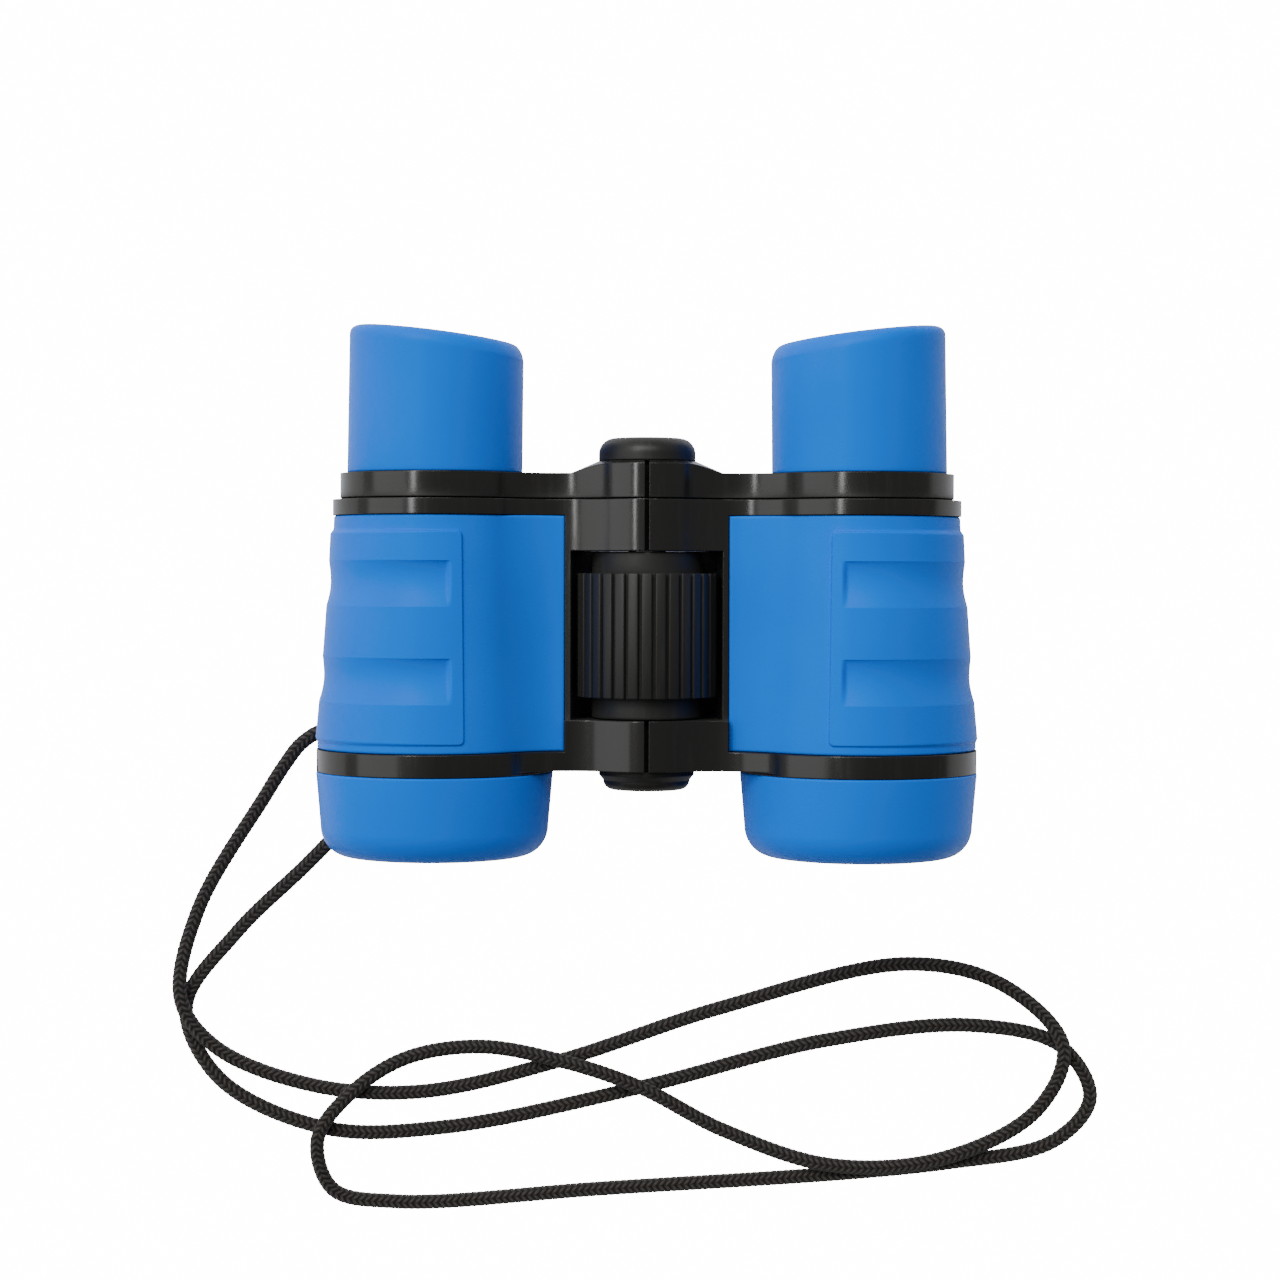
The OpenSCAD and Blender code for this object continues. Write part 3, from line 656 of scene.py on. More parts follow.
CAMERA_OVER = (-0.2, 2.85)
CAMERA_TARGET = (-1.12, -8.52)
CAMERA_ROLL = math.radians(0.15)
SENSOR_WIDTH = 36.0
FLOOR_DOWN = 0.05
FLOOR_GLOW = 0.15
SHADE_HALF = (14.0, 20.0)
SHADE_EDGE = (0.68, 1.08)
SHADE_POWER = 4.0
SURROUND_GLOW = 16.0

# Lengths in metres: the floor, the nearest that is seen, and each light's name, power, size and place
FLOOR_HALF = 3.0
NEAREST_SEEN = 0.01
KEY_LEAN = math.radians(23)
KEY_AWAY = 0.9
LIGHTS = (
    ("key_softbox", "key_power", (0.08, 0.9),
     (-KEY_AWAY * math.sin(KEY_LEAN), 0.42, KEY_AWAY * math.cos(KEY_LEAN))),
    ("back_softbox", "back_power", (0.9, 0.3), (-0.15, 0.55, 0.8)),
    ("side_card", "card_power", (0.7, 0.4), (-0.72, 0.02, 0.54)),
)


def facing(place, target, up):
    """Matrix of a camera or a light that looks at a target, with its Y axis toward up."""
    back = (place - target).normalized()
    right = up.cross(back).normalized()
    turn = Matrix((right, back.cross(right), back)).transposed()
    return Matrix.Translation(place) @ turn.to_4x4()


def make_camera(settings):
    """A camera straight over the barrels, as in the photo."""
    data = bpy.data.cameras.new("photo_camera")
    data.lens = settings.lens
    data.sensor_width = SENSOR_WIDTH
    data.clip_start = NEAREST_SEEN
    camera = add_object("photo_camera", data)
    eye = Vector((CAMERA_OVER[0] * MM, CAMERA_OVER[1] * MM, settings.camera_height))
    target = Vector((*CAMERA_TARGET, 0)) * MM
    up = Vector((-math.sin(CAMERA_ROLL), math.cos(CAMERA_ROLL), 0))
    camera.matrix_world = facing(eye, target, up)
    return camera


def make_floor(settings):
    """A pale floor, seen by the camera only from above and only in the shade under the hinge."""
    half = FLOOR_HALF
    corners = [(-half, -half, 0), (half, -half, 0), (half, half, 0), (-half, half, 0)]
    mesh = bpy.data.meshes.new("pale_floor")
    mesh.from_pydata(corners, [], [(0, 1, 2, 3)])
    made, tree, shader = new_material("pale_floor")
    feed(tree, shader, {
        "Base Color": (*settings.floor_colour, 1),
        "Roughness": 0.9,
        "Emission Color": (1, 1, 1, 1),
        "Emission Strength": FLOOR_GLOW,
    })
    below = add_node(tree, "ShaderNodeNewGeometry").outputs["Backfacing"]
    left_out = math_node(tree, "MAXIMUM", hinge_shade(tree), below)
    clear = math_node(tree, "MULTIPLY", seen_by_camera(tree), left_out)
    nothing = output_of(tree, "ShaderNodeBsdfTransparent")
    surface = output_of(tree, "ShaderNodeMixShader", {0: clear, 1: shader.outputs[0], 2: nothing})
    feed(tree, tree.nodes["Material Output"], {"Surface": surface})
    mesh.materials.append(made)
    floor = add_object("pale_floor", mesh)
    floor.location.z = -FLOOR_DOWN * MM


def hinge_shade(tree):
    """Share of the white surround that is left in the soft shade under the hinge."""
    place = separate(tree, coordinates(tree))
    wide, deep = SHADE_HALF
    across = math_node(tree, "DIVIDE", place["X"], wide * MM)
    from_middle = math_node(tree, "SUBTRACT", place["Y"], WHEEL_MIDDLE * MM)
    along = math_node(tree, "DIVIDE", from_middle, deep * MM)
    far = math_node(tree, "MAXIMUM", *(math_node(tree, "ABSOLUTE", share) for share in (across, along)))
    return math_node(tree, "POWER", remap(tree, far, SHADE_EDGE), SHADE_POWER)


def make_softbox(name, power, size, place):
    """A soft light that faces the middle, with its second side along the barrels."""
    data = bpy.data.lights.new(name, "AREA")
    data.energy = power
    data.shape = "RECTANGLE"
    data.size, data.size_y = size
    add_object(name, data).matrix_world = facing(place, Vector(), ALONG_BARRELS)


def make_surround():
    """A pale room that is brighter on the left and beyond the eyecups."""
    world = bpy.data.worlds.new("pale_room")
    world.use_nodes = True
    tree = world.node_tree
    tree.nodes.clear()
    way = separate(tree, coordinates(tree, "Generated"))
    across = remap(tree, way["X"], source=(-0.45, 0.1), target=(0.75, 0.36))
    beyond = remap(tree, way["Y"], source=(-0.35, 0.25), target=(0.25, 1.2))
    around = math_node(tree, "MULTIPLY", across, beyond)
    strength = between(tree, seen_by_camera(tree), around, SURROUND_GLOW)
    light = output_of(tree, "ShaderNodeBackground", {"Color": (1.0, 0.99, 0.97, 1), "Strength": strength})
    add_node(tree, "ShaderNodeOutputWorld", {"Surface": light})
    return world


class BINOCULARS_OT_stage(Operator):
    """Makes the camera, the floor and the lights"""

    bl_idname = "binoculars.stage"
    bl_label = "Stage"

    def execute(self, context):
        settings = context.scene.binoculars.stage
        context.scene.camera = make_camera(settings)
        make_floor(settings)
        for name, power, size, place in LIGHTS:
            make_softbox(name, getattr(settings, power), size, Vector(place))
        context.scene.world = make_surround()
        return {"FINISHED"}


# Neck cord

KNIT_CREST = 0.1
KNIT_RELIEF = 0.14
STITCH_VALLEY = 0.3
COLUMN_VALLEY = 0.5
RINGS_PER_STITCH = 4
SIDES_PER_COLUMN = 8
ROUTE_STEPS = 24
KNOT_TURNS = 3.1
KNOT_STEPS = 90
KNOT_WRAP = 0.8
KNOT_RISE = 0.95


def smooth_curve(route, steps):
    """Points on a smooth curve through the route's points."""
    points = [Vector(p) for p in route]
    points = [2 * points[0] - points[1], *points, 2 * points[-1] - points[-2]]
    line = []
    for a, b, c, d in zip(points, points[1:], points[2:], points[3:]):
        ab, bc, cd = (math.sqrt((q - p).length) for p, q in ((a, b), (b, c), (c, d)))
        m = bc * ((b - a) / ab - (c - a) / (ab + bc)) + (c - b)
        n = bc * ((d - c) / cd - (d - b) / (bc + cd)) + (c - b)
        for s in range(steps):
            t = s / steps
            line.append((2 * (b - c) + m + n) * t ** 3 + (3 * (c - b) - 2 * m - n) * t * t + m * t + b)
    line.append(points[-2])
    return line


def even_points(line, step):
    """Points along a line at equal steps, and its length."""
    reach = reaches(line)
    count = max(2, round(reach[-1] / step))
    points = []
    k = 0
    for i in range(count + 1):
        at = reach[-1] * i / count
        while k < len(line) - 2 and reach[k + 1] < at:
            k += 1
        t = (at - reach[k]) / (reach[k + 1] - reach[k])
        points.append(line[k].lerp(line[k + 1], t))
    return points, reach[-1]


def knit_radius(settings):
    """Radius out to the highest crests of the stitches."""
    return settings.diameter / 2 + KNIT_CREST


def knit_depth(stitches, leg):
    """How far the knit lies under its crests, at a place along the cord and across a column."""
    stitch = 0.5 + 0.5 * math.cos(2 * math.pi * (stitches + STITCH_SLANT * leg))
    bulge = math.sin(math.pi * leg)
    high = STITCH_VALLEY + (1 - STITCH_VALLEY) * stitch
    full = COLUMN_VALLEY + (1 - COLUMN_VALLEY) * bulge
    return KNIT_RELIEF * (1 - high * full)


def knitted_tube(name, line, settings, material):
    """A tube of V-shaped stitches along a line, with a UV map that counts columns and stitches."""
    sides = SIDES_PER_COLUMN * settings.columns
    points, length = even_points(line, settings.pitch / RINGS_PER_STITCH)
    last = len(points) - 1
    mesh_points = []
    for i, centre in enumerate(points):
        way = (points[min(last, i + 1)] - points[max(0, i - 1)]).normalized()
        side, lift = level_and_upright(way)
        for k in range(sides):
            leg = abs(k * settings.columns / sides % 1 - 0.5) * 2
            out = knit_radius(settings) - knit_depth(i / RINGS_PER_STITCH, leg)
            turn = 2 * math.pi * k / sides
            mesh_points.append(centre + out * (math.cos(turn) * side + math.sin(turn) * lift))
    faces = tube_faces(len(points), sides, False)
    ends = [tuple(range(sides)), tuple(reversed(range(last * sides, (last + 1) * sides)))]
    mesh = bpy.data.meshes.new(name)
    mesh.from_pydata([p * MM for p in mesh_points], [], [tuple(reversed(f)) for f in faces] + ends)
    mesh.materials.append(material)
    mesh.shade_smooth()
    map_stitches(mesh, settings.columns, sides)
    return add_object(name, mesh), points, length


def map_stitches(mesh, columns, sides):
    """UV map of a knitted tube, with columns across and stitches along."""
    stitches = mesh.uv_layers.new(name="stitches")
    for face in mesh.polygons:
        corners = [mesh.loops[n].vertex_index for n in face.loop_indices]
        turns = [v % sides for v in corners]
        wraps = max(turns) - min(turns) > sides / 2
        for n, v, turn in zip(face.loop_indices, corners, turns):
            around = turn + sides if wraps and turn == 0 else turn
            stitches.data[n].uv = (around * columns / sides, v // sides / RINGS_PER_STITCH)


def make_knot(settings, material, start, stop):
    """Wraps of the cord around its two ends."""
    way = (stop - start).normalized()
    side, lift = level_and_upright(way)
    wrap_r = settings.diameter * KNOT_WRAP
    rise = settings.diameter * KNOT_RISE
    middle = (start + stop) / 2
    line = []
    for i in range(KNOT_STEPS + 1):
        turn = KNOT_TURNS * i / KNOT_STEPS
        a = 2 * math.pi * turn
        out = wrap_r * (math.cos(a) * side + math.sin(a) * lift)
        line.append(middle + way * (turn - KNOT_TURNS / 2) * rise + out)
    return knitted_tube("cord_knot_wraps", line, settings, material)[0]


class BINOCULARS_OT_neck_cord(Operator):
    """Makes the knitted neck cord and its knot"""

    bl_idname = "binoculars.neck_cord"
    bl_label = "Neck cord"

    def execute(self, context):
        settings = context.scene.binoculars.cord
        material = cord_material(settings)
        lift = knit_radius(settings) - CORD_Z
        route = [(x, y, z + lift) for x, y, z in CORD_ROUTE]
        laid = smooth_curve(route, ROUTE_STEPS)
        cord, line, length = knitted_tube("neck_cord_knit", laid, settings, material)
        knot = make_knot(settings, material, Vector(route[-1]), Vector(route[0]))
        settle(cord, "left_barrel", "cord", "neck_cord")
        settle(knot, "left_barrel", "cord", "cord_knot")
        return {"FINISHED"}


# Grip armour, worked out on the left barrel and mirrored to the right

ARMOUR_TOP_R = 16.1
ARMOUR_LOW_R = 17.7
ARMOUR_T = 1.4
SKIN_GAP = 0.16
BARREL_AXIS = Vector((-HALF_SPACING, AXIS_Z))

# Web beside the wheel: its edges above and below the axis, its slope and how far it is pulled straight
WEB_EDGE_X = ARMOUR_HIGH.x
WEB_EDGES = {1: 7.6, -1: -3.8}
WEB_INNER = {1: 5.8 + SKIN_GAP, -1: -2.0 - SKIN_GAP}
WEB_SLOPE = 0.05
WEB_PULL = 11.0
WEB_STEPS = 16
WEB_SHARES = [0, 0.003, 0.007, 0.012, 0.018, 0.026, 0.04] + [k / WEB_STEPS for k in range(1, WEB_STEPS)]

# Raised panel and finger grooves, with angles in degrees from the inner side of the barrel
ARC_FROM = 48.0
ARC_TO = 180.0
PANEL_EDGE = 71.0
GROOVE_EDGE = 78.0
SWELL_FROM = 80.0
SIDE_TO = 160.0
PANEL_CORNER = 0.8
PANEL_TOP = ARMOUR_HIGH.y - 2.55
PANEL_LOW = ARMOUR_LOW.y + 1.45
STEP_HALF = 0.17
STEP_SOFTER = 2
SWELL_POWER = 1.7
GROOVE_TOPS = (PANEL_TOP - 4.6, PANEL_TOP - 19.8)
GROOVE_END_WALL = (-0.35, 0.55)
GROOVE_SHALLOWER = 0.4
SCOOP_POWER = 0.65
SCOOP_FLATTER = 0.45

# Stations of the mesh, which are closer together near the edges
ARC_STEP = 3.0
DEGREE_LEN = 0.3
NEAR_ANGLES = [n / DEGREE_LEN for n in (0.06, 0.12, 0.18, 0.26, 0.36, 0.5, 0.7)]
LENGTH_STEP = 0.5
NEAR_LENGTHS = (0.05, 0.1, 0.16, 0.24, 0.34, 0.48)


def armour_radius(y):
    share = (ARMOUR_HIGH.y - y) / (ARMOUR_HIGH.y - ARMOUR_LOW.y)
    return ARMOUR_TOP_R + (ARMOUR_LOW_R - ARMOUR_TOP_R) * share


def on_barrel(radius, angle, up):
    turn = math.radians(angle)
    return BARREL_AXIS + radius * Vector((math.cos(turn), up * math.sin(turn)))


def inside_corner(u, v, radius):
    """Distance inside a corner whose sides are u and v away, rounded by a radius."""
    if u < radius and v < radius:
        return radius - math.hypot(radius - u, radius - v)
    return min(u, v)


def side_share(angle):
    """Share of the way from the groove ends near the crown to the outer side of a barrel."""
    return ramp(angle, GROOVE_EDGE, SIDE_TO)


def panel_rise(grip, angle, y):
    """Height of the raised panel over the armour, with its finger grooves."""
    radius = armour_radius(y)
    inward = math.radians(angle - PANEL_EDGE) * radius
    edge = min(inside_corner(inward, PANEL_TOP - y, PANEL_CORNER),
               inside_corner(inward, y - PANEL_LOW, PANEL_CORNER))
    down_panel = ramp(y, PANEL_TOP, PANEL_LOW)
    rise = grip.rise_top + (grip.rise_low - grip.rise_top) * down_panel
    cut = sum(groove_cut(grip, angle, top - y, radius) for top in GROOVE_TOPS)
    half = STEP_HALF * (1 + STEP_SOFTER * side_share(angle))
    swell = grip.swell * down_panel ** SWELL_POWER * eased(angle, SWELL_FROM, ARC_TO)
    return swell + eased(edge, -half, half) * (rise - cut)


def groove_cut(grip, angle, down, radius):
    """Depth of a finger groove: a scoop that is deepest near its top edge, shallower on the outer side."""
    share = ramp(down, 0, grip.groove_len)
    side = side_share(angle)
    scoop = math.sin(math.pi * share ** (SCOOP_POWER + SCOOP_FLATTER * side))
    end_wall = eased(math.radians(angle - GROOVE_EDGE) * radius, *GROOVE_END_WALL)
    return grip.groove_depth * (1 - GROOVE_SHALLOWER * side) * scoop * end_wall


def edge_inset(distance, radius):
    """How far a rounded edge draws back from the surface, at a distance from the edge."""
    if distance >= radius:
        return 0.0
    return radius - math.sqrt(radius ** 2 - (radius - distance) ** 2)


def armour_outside(grip, y, angles):
    """Outside of the grip across one station, from its upper edge round the barrel to its lower edge."""
    halves = {}
    for up in (1, -1):
        start = Vector((WEB_EDGE_X, AXIS_Z + WEB_EDGES[up]))
        stop = on_barrel(armour_radius(y), ARC_FROM, up)
        turn = math.radians(ARC_FROM)
        out = WEB_PULL * Vector((-1, WEB_SLOPE * up))
        into = WEB_PULL * Vector((-math.sin(turn), up * math.cos(turn)))
        web = [((1 - t) ** 2 * ((1 + 2 * t) * start + t * out)
                + t * t * ((3 - 2 * t) * stop - (1 - t) * into), 0.0) for t in WEB_SHARES]
        arc = [(on_barrel(armour_radius(y), a, up), panel_rise(grip, a, y)) for a in angles]
        halves[up] = web + arc
    line = halves[1] + halves[-1][-2::-1]
    reach = reaches([point for point, _ in line])
    from_end = min(ARMOUR_HIGH.y - y, y - ARMOUR_LOW.y)
    placed = []
    for i, (point, rise) in enumerate(line):
        way = (line[min(i + 1, len(line) - 1)][0] - line[max(i - 1, 0)][0]).normalized()
        nearest = min(from_end, reach[i], reach[-1] - reach[i])
        placed.append(point + Vector((way.y, -way.x)) * (rise - edge_inset(nearest, grip.edge)))
    return placed


def armour_inside(y, angles):
    """Inside of the grip across one station, with as many points as the outside."""
    radius = armour_radius(y) - ARMOUR_T + SKIN_GAP
    halves = {}
    for up in (1, -1):
        z = WEB_INNER[up]
        first = math.degrees(math.asin(abs(z) / radius))
        start = Vector((WEB_EDGE_X, AXIS_Z + z))
        turns = [first + (ARC_TO - first) * (a - ARC_FROM) / (ARC_TO - ARC_FROM) for a in angles]
        web = [start.lerp(on_barrel(radius, first, up), t) for t in WEB_SHARES]
        halves[up] = web + [on_barrel(radius, turn, up) for turn in turns]
    return halves[1] + halves[-1][-2::-1]


def armour_mesh(grip, side):
    """Points and faces of one grip."""
    angles = spread([PANEL_EDGE, GROOVE_EDGE], ARC_FROM, ARC_TO, ARC_STEP, NEAR_ANGLES)
    marks = [PANEL_TOP, PANEL_LOW, *GROOVE_TOPS, *(top - grip.groove_len for top in GROOVE_TOPS)]
    marks += [ARMOUR_HIGH.y, ARMOUR_LOW.y]
    stations = spread(marks, ARMOUR_LOW.y, ARMOUR_HIGH.y, LENGTH_STEP, NEAR_LENGTHS)
    stations.reverse()
    rows = [(y, armour_outside(grip, y, angles)) for y in stations]
    rows += [(y, armour_inside(y, angles)) for y in (ARMOUR_HIGH.y, ARMOUR_LOW.y)]
    points = [(-side * p.x, y, p.y) for y, row in rows for p in row]
    n = len(rows[0][1])
    last = len(stations) - 1
    inner = (last + 1) * n
    faces = []
    for row in [*range(last), last + 1]:
        for c in range(n - 1):
            at = row * n + c
            faces.append((at, at + n, at + n + 1, at + 1))
    for c in range(n - 1):
        faces.append((c, c + 1, inner + c + 1, inner + c))
        faces.append((last * n + c, inner + n + c, inner + n + c + 1, last * n + c + 1))
    for end in (0, n - 1):
        faces += [(row * n + end, inner + end, (row + 1) * n + end) for row in range(last)]
        faces.append((last * n + end, inner + end, inner + n + end))
    return points, faces


class BINOCULARS_OT_grip_armours(Operator):
    """Makes the rubber grips with their raised panels and finger grooves"""

    bl_idname = "binoculars.grip_armours"
    bl_label = "Grip armours"

    def execute(self, context):
        settings = context.scene.binoculars
        make_rubber_pair(settings, "grip", "barrel", "grip_armour", GRIP_SHARP,
                         lambda side: armour_mesh(settings.grip, side))
        return {"FINISHED"}


# Eyecups

CUP_FOOT_R = 14.0
CUP_FOOT_EDGE = 0.35
CUP_FOOT_HEIGHTS = (0, 0.05, 0.12, 0.22, CUP_FOOT_EDGE)
CUP_TAPER = 0.1
CUP_LIP_R = 11.1
CUP_LIP_WIDTH = 1.7
CUP_LIP_DEPTH = 1.5
CUP_LIP_DEEPER = 1.6
CUP_INNER_ROUND = 0.7
CUP_NECK_R = 12.05
CUP_STEP = 12.5

# Points of the mesh around a cup, up its side, over its lip and down its throat
CUP_COLUMNS = 144
CUP_SIDE_ROWS = 30
CUP_LIP_ROWS = 10
CUP_INNER_ROWS = 6
CUP_THROAT_ROWS = 8


def cup_rows(length, outer):
    """Outline of an eyecup as (radius, height, share of the slant), up the outside and down inside."""
    lip_depth = CUP_LIP_DEPTH + CUP_LIP_DEEPER * (1 - outer)
    side_top = length - lip_depth
    rows = [(CUP_FOOT_R - edge_inset(h, CUP_FOOT_EDGE), h, 0.0) for h in CUP_FOOT_HEIGHTS]
    for k in range(1, CUP_SIDE_ROWS + 1):
        height = CUP_FOOT_EDGE + (side_top - CUP_FOOT_EDGE) * k / CUP_SIDE_ROWS
        rows.append((CUP_FOOT_R - CUP_TAPER * height / length, height, height / length))
    top_r = CUP_FOOT_R - CUP_TAPER * side_top / length
    for k in range(1, CUP_LIP_ROWS + 1):
        turn = math.pi / 2 * k / CUP_LIP_ROWS
        radius = top_r - CUP_LIP_WIDTH * (1 - math.cos(turn))
        rows.append((radius, side_top + lip_depth * math.sin(turn), 1.0))
    for k in range(CUP_INNER_ROWS + 1):
        turn = math.pi / 2 * k / CUP_INNER_ROWS
        radius = CUP_LIP_R + CUP_INNER_ROUND * (1 - math.sin(turn))
        rows.append((radius, length - CUP_INNER_ROUND * (1 - math.cos(turn)), 1.0))
    for k in range(CUP_THROAT_ROWS - 1, 0, -1):
        height = CUP_STEP + (length - CUP_INNER_ROUND - CUP_STEP) * k / CUP_THROAT_ROWS
        rows.append((CUP_LIP_R, height, k / CUP_THROAT_ROWS))
    rows += [(CUP_LIP_R, CUP_STEP, 0.0), (CUP_NECK_R, CUP_STEP, 0.0), (CUP_NECK_R, 0.0, 0.0)]
    return rows


def cup_mesh(settings, side):
    """Points and faces of one eyecup, whose top slants down toward the middle."""
    length = CUP_HIGH.y - CUP_LOW.y
    points = []
    for c in range(CUP_COLUMNS):
        turn = 2 * math.pi * c / CUP_COLUMNS
        outer = (1 + math.cos(turn)) / 2
        rows = cup_rows(length, outer)
        for radius, height, share in rows:
            out = radius * math.cos(turn) - settings.lean * share
            drop = settings.drop * (1 - out / CUP_FOOT_R) / 2
            points.append((side * (HALF_SPACING + out), CUP_LOW.y + height - drop * share,
                           AXIS_Z + radius * math.sin(turn)))
    return points, tube_faces(CUP_COLUMNS, len(rows), True)


class BINOCULARS_OT_eyecups(Operator):
    """Makes the winged rubber eyecups"""

    bl_idname = "binoculars.eyecups"
    bl_label = "Eyecups"

    def execute(self, context):
        settings = context.scene.binoculars
        make_rubber_pair(settings, "eyecup", "eyepiece", "eyecup", RUBBER_SHARP,
                         lambda side: cup_mesh(settings.eyecup, side))
        return {"FINISHED"}


# Objective rims

RIM_R = (RIM_HIGH.z - RIM_LOW.z) / 2
RIM_END_R = RIM_R - 0.75
RIM_BACK_EDGE = 0.35
RIM_CORNER = (4.4, 4.8)
RIM_CORNER_STEPS = 18
RIM_LIP_R = 12.9
RIM_LIP_EDGE = 0.5
RIM_LIP_LEN = 5.55
RIM_SLEEVE_R = 16.45
RIM_SEGMENTS = 160


def rim_outline():
    """Closed outline of a rim as (radius, Y), with a broad round corner at its end."""
    step = RIM_LOW.y + RIM_LIP_LEN
    wide, deep = RIM_CORNER
    turns = [math.pi * k / (2 * RIM_CORNER_STEPS) for k in range(RIM_CORNER_STEPS + 1)]
    corner = [(RIM_END_R - wide * (1 - math.cos(turn)), RIM_LOW.y + deep * (1 - math.sin(turn)), 0)
              for turn in turns]
    return rounded([
        (RIM_SLEEVE_R, RIM_HIGH.y, 0), (RIM_R, RIM_HIGH.y, RIM_BACK_EDGE), *corner,
        (RIM_LIP_R, RIM_LOW.y, RIM_LIP_EDGE), (RIM_LIP_R, step, 0), (RIM_SLEEVE_R, step, 0)])


class BINOCULARS_OT_objective_rims(Operator):
    """Makes the rounded rubber rims at the objective end"""

    bl_idname = "binoculars.objective_rims"
    bl_label = "Objective rims"

    def execute(self, context):
        make_rubber_pair(context.scene.binoculars, "rim", "barrel", "objective_rim", RUBBER_SHARP,
                         lambda side: lathe(rim_outline(), side * HALF_SPACING, AXIS_Z, RIM_SEGMENTS))
        return {"FINISHED"}


# Focus wheel

WHEEL_R = (WHEEL_HIGH.z - WHEEL_LOW.z) / 2
WHEEL_RING_R = 8.75
WHEEL_BORE_R = 3.06
WHEEL_EDGE = 0.35
WHEEL_SEGMENTS = 128
RIB_HEIGHT = 0.7
RIB_ROOT = 0.3
RIB_EDGE = 0.14
WELD_GAP = 0.002


def rib_tree():
    """Geometry nodes that set ribs around a wheel core and weld them to it."""
    tree, given, result = new_group(
        "ribs_around_wheel",
        [("Core", GEOMETRY), ("Rib", "NodeSocketObject"), ("Count", "NodeSocketInt"), ("Radius", FLOAT),
         ("Middle", VECTOR), ("Material", "NodeSocketMaterial")],
        [("Wheel", GEOMETRY)], "GeometryNodeTree")
    count = given["Count"]
    circle = output_of(tree, "GeometryNodeMeshCircle", {"Vertices": count, "Radius": given["Radius"]})
    upright = output_of(tree, "GeometryNodeTransform", {"Geometry": circle, "Rotation": (math.pi / 2, 0, 0)})
    number = output_of(tree, "GeometryNodeInputIndex")
    step = math_node(tree, "DIVIDE", -2 * math.pi, count)
    turn = output_of(tree, "ShaderNodeCombineXYZ", {"Y": math_node(tree, "MULTIPLY", number, step)})
    rib = add_node(tree, "GeometryNodeObjectInfo", {"Object": given["Rib"]}).outputs["Geometry"]
    ribs = output_of(tree, "GeometryNodeInstanceOnPoints", {
        "Points": upright, "Instance": rib, "Rotation": turn})
    placed = output_of(tree, "GeometryNodeTransform", {"Geometry": ribs, "Translation": given["Middle"]})
    real = output_of(tree, "GeometryNodeRealizeInstances", {"Geometry": placed})
    union = add_node(tree, "GeometryNodeMeshBoolean", operation="UNION", solver="EXACT")
    for part in (given["Core"], real):
        feed(tree, union, {"Mesh 2": part})
    welded = output_of(tree, "GeometryNodeMergeByDistance", {
        "Geometry": union.outputs[0], "Distance": WELD_GAP * MM})
    dressed = output_of(tree, "GeometryNodeSetMaterial", {
        "Geometry": welded, "Material": given["Material"]})
    feed(tree, result, {"Wheel": dressed})
    return tree


def grow(core, tree, values):
    """Turns a core and a geometry tree into one plain mesh."""
    modifier = core.modifiers.new("ribs", "NODES")
    modifier.node_group = tree
    for socket in tree.interface.items_tree:
        if socket.in_out == "INPUT" and socket.name in values:
            modifier[socket.identifier] = values[socket.name]
    core.update_tag()
    graph = bpy.context.evaluated_depsgraph_get()
    mesh = bpy.data.meshes.new_from_object(core.evaluated_get(graph))
    core.modifiers.remove(modifier)
    soften(mesh, PLASTIC_SHARP)
    core.data = mesh


def make_rib(wheel, material):
    """One rib along Y, with its outer edges rounded."""
    half = (2 * math.pi * WHEEL_R / wheel.ribs - wheel.groove) / 2
    height = RIB_HEIGHT + RIB_ROOT
    top = wheel.rib_len / 2
    corners = [(x, y, z) for x in (0, height) for y in (-top, top) for z in (-half, half)]
    faces = [(0, 1, 3, 2), (4, 6, 7, 5), (0, 4, 5, 1), (2, 3, 7, 6), (0, 2, 6, 4), (1, 5, 7, 3)]
    rib = new_piece("one_rib", corners, faces, material, PLASTIC_SHARP)
    work = bmesh.new()
    work.from_mesh(rib.data)
    outer = [e for e in work.edges if any(v.co.x > height * MM / 2 for v in e.verts)]
    bmesh.ops.bevel(work, geom=outer, offset=RIB_EDGE * MM, segments=3, affect="EDGES", profile=0.5)
    work.to_mesh(rib.data)
    work.free()
    return rib


class BINOCULARS_OT_focus_wheel(Operator):
    """Makes the ribbed focus wheel"""

    bl_idname = "binoculars.focus_wheel"
    bl_label = "Focus wheel"

    def execute(self, context):
        settings = context.scene.binoculars
        wheel = settings.wheel
        material = satin_material(settings.plastic)
        low = WHEEL_MIDDLE - wheel.rib_len / 2
        high = WHEEL_MIDDLE + wheel.rib_len / 2
        root_r = WHEEL_R - RIB_HEIGHT
        outline = rounded([
            (WHEEL_BORE_R, WHEEL_LOW.y, 0), (WHEEL_RING_R, WHEEL_LOW.y, WHEEL_EDGE), (WHEEL_RING_R, low, 0),
            (root_r, low, 0), (root_r, high, 0), (WHEEL_RING_R, high, 0),
            (WHEEL_RING_R, WHEEL_HIGH.y, WHEEL_EDGE), (WHEEL_BORE_R, WHEEL_HIGH.y, 0)])
        points, faces = lathe(outline, 0.0, HINGE_Z, WHEEL_SEGMENTS)
        core = new_piece("focus_wheel_ribbed", points, faces, material, PLASTIC_SHARP)
        rib = make_rib(wheel, material)
        grow(core, rib_tree(), {
            "Rib": rib, "Count": wheel.ribs, "Radius": (root_r - RIB_ROOT) * MM,
            "Middle": Vector((0, WHEEL_MIDDLE, HINGE_Z)) * MM, "Material": material})
        bpy.data.objects.remove(rib)
        settle(core, "focus_wheel", "black_satin", "focus_wheel")
        return {"FINISHED"}


# Pieces that keep the shape of their solids

class BINOCULARS_OT_shells(Operator):
    """Finishes the glossy barrel housings and eyepiece arms"""

    bl_idname = "binoculars.shells"
    bl_label = "Shells and arms"

    def execute(self, context):
        gloss = gloss_material(context.scene.binoculars.plastic)
        for name in SIDES:
            dress(gloss, f"{name}_barrel_housing", f"{name}_eyepiece_arm")
        return {"FINISHED"}


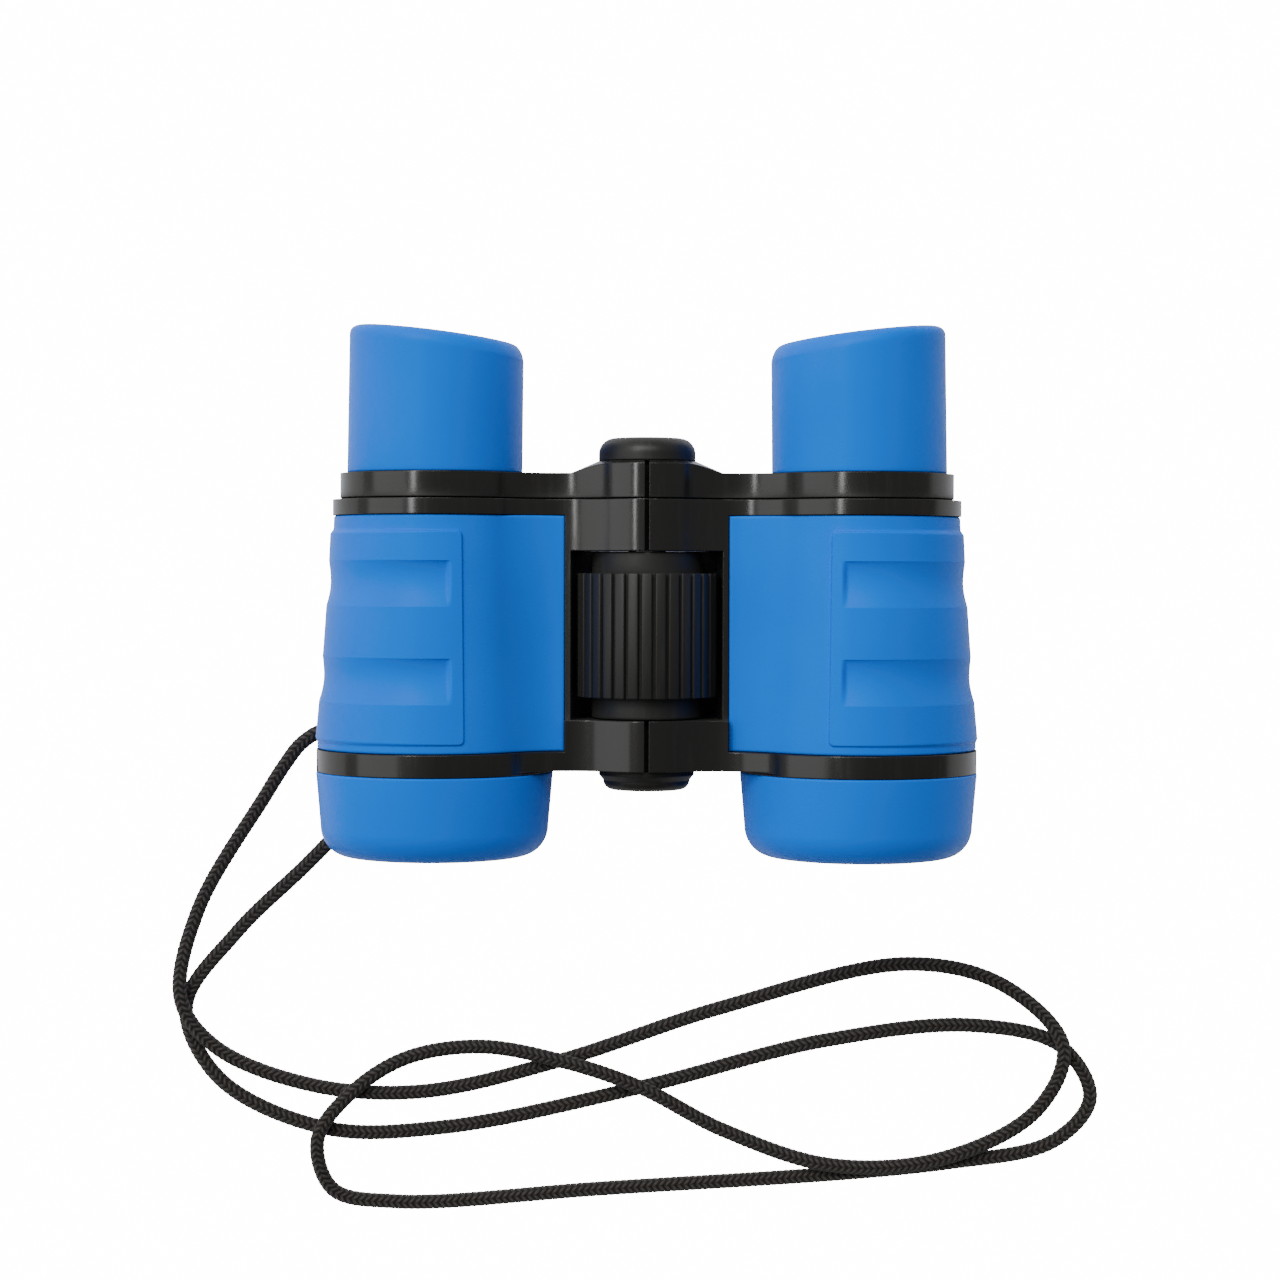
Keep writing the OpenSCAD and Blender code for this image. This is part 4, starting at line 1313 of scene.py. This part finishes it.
class BINOCULARS_OT_caps(Operator):
    """Finishes the satin caps, strap eyes and lens rings"""

    bl_idname = "binoculars.caps"
    bl_label = "Caps and rings"

    def execute(self, context):
        satin = satin_material(context.scene.binoculars.plastic)
        dress(satin, "top_cap", "bottom_cap")
        for name in SIDES:
            dress(satin, f"{name}_strap_eye", f"{name}_objective_ring", f"{name}_eyepiece_ring")
        return {"FINISHED"}


class BINOCULARS_OT_lenses(Operator):
    """Finishes the lenses"""

    bl_idname = "binoculars.lenses"
    bl_label = "Lenses"

    def execute(self, context):
        glass = lens_material()
        for name in SIDES:
            dress(glass, f"{name}_objective_lens", f"{name}_eyepiece_lens")
        return {"FINISHED"}


class BINOCULARS_OT_screws(Operator):
    """Finishes the focus screw, its washer and the retaining screw"""

    bl_idname = "binoculars.screws"
    bl_label = "Screw and washer"

    def execute(self, context):
        dress(steel_material(), "focus_screw", "retaining_washer", "retaining_screw")
        return {"FINISHED"}


# Panel and registration

PIECE_OPERATORS = (BINOCULARS_OT_stage, BINOCULARS_OT_neck_cord, BINOCULARS_OT_grip_armours,
                   BINOCULARS_OT_eyecups, BINOCULARS_OT_objective_rims, BINOCULARS_OT_focus_wheel,
                   BINOCULARS_OT_shells, BINOCULARS_OT_caps, BINOCULARS_OT_lenses, BINOCULARS_OT_screws)


class BINOCULARS_PT_pieces(Panel):
    """Lists the pieces and their settings"""

    bl_idname = "BINOCULARS_PT_pieces"
    bl_label = "Toy binoculars"
    bl_space_type = "VIEW_3D"
    bl_region_type = "UI"
    bl_category = "Binoculars"

    def draw(self, context):
        for operator in PIECE_OPERATORS:
            self.layout.operator(operator.bl_idname)
        settings = context.scene.binoculars
        for group in settings.bl_rna.properties:
            if group.type == "POINTER" and group.identifier != "rna_type":
                box = self.layout.box()
                values = getattr(settings, group.identifier)
                for value in values.bl_rna.properties:
                    if value.identifier not in ("rna_type", "name"):
                        box.prop(values, value.identifier)


CLASSES = (RubberSettings, PlasticSettings, GripSettings, EyecupSettings, WheelSettings, CordSettings,
           StageSettings, BinocularsSettings, *PIECE_OPERATORS, BINOCULARS_PT_pieces)


def register():
    for made in CLASSES:
        bpy.utils.register_class(made)
    bpy.types.Scene.binoculars = PointerProperty(type=BinocularsSettings)


def unregister():
    del bpy.types.Scene.binoculars
    for made in reversed(CLASSES):
        bpy.utils.unregister_class(made)


def main():
    register()
    bpy.ops.binoculars.stage()
    bpy.ops.binoculars.neck_cord()
    bpy.ops.binoculars.grip_armours()
    bpy.ops.binoculars.eyecups()
    bpy.ops.binoculars.objective_rims()
    bpy.ops.binoculars.focus_wheel()
    bpy.ops.binoculars.shells()
    bpy.ops.binoculars.caps()
    bpy.ops.binoculars.lenses()
    bpy.ops.binoculars.screws()


if __name__ == "__main__":
    main()
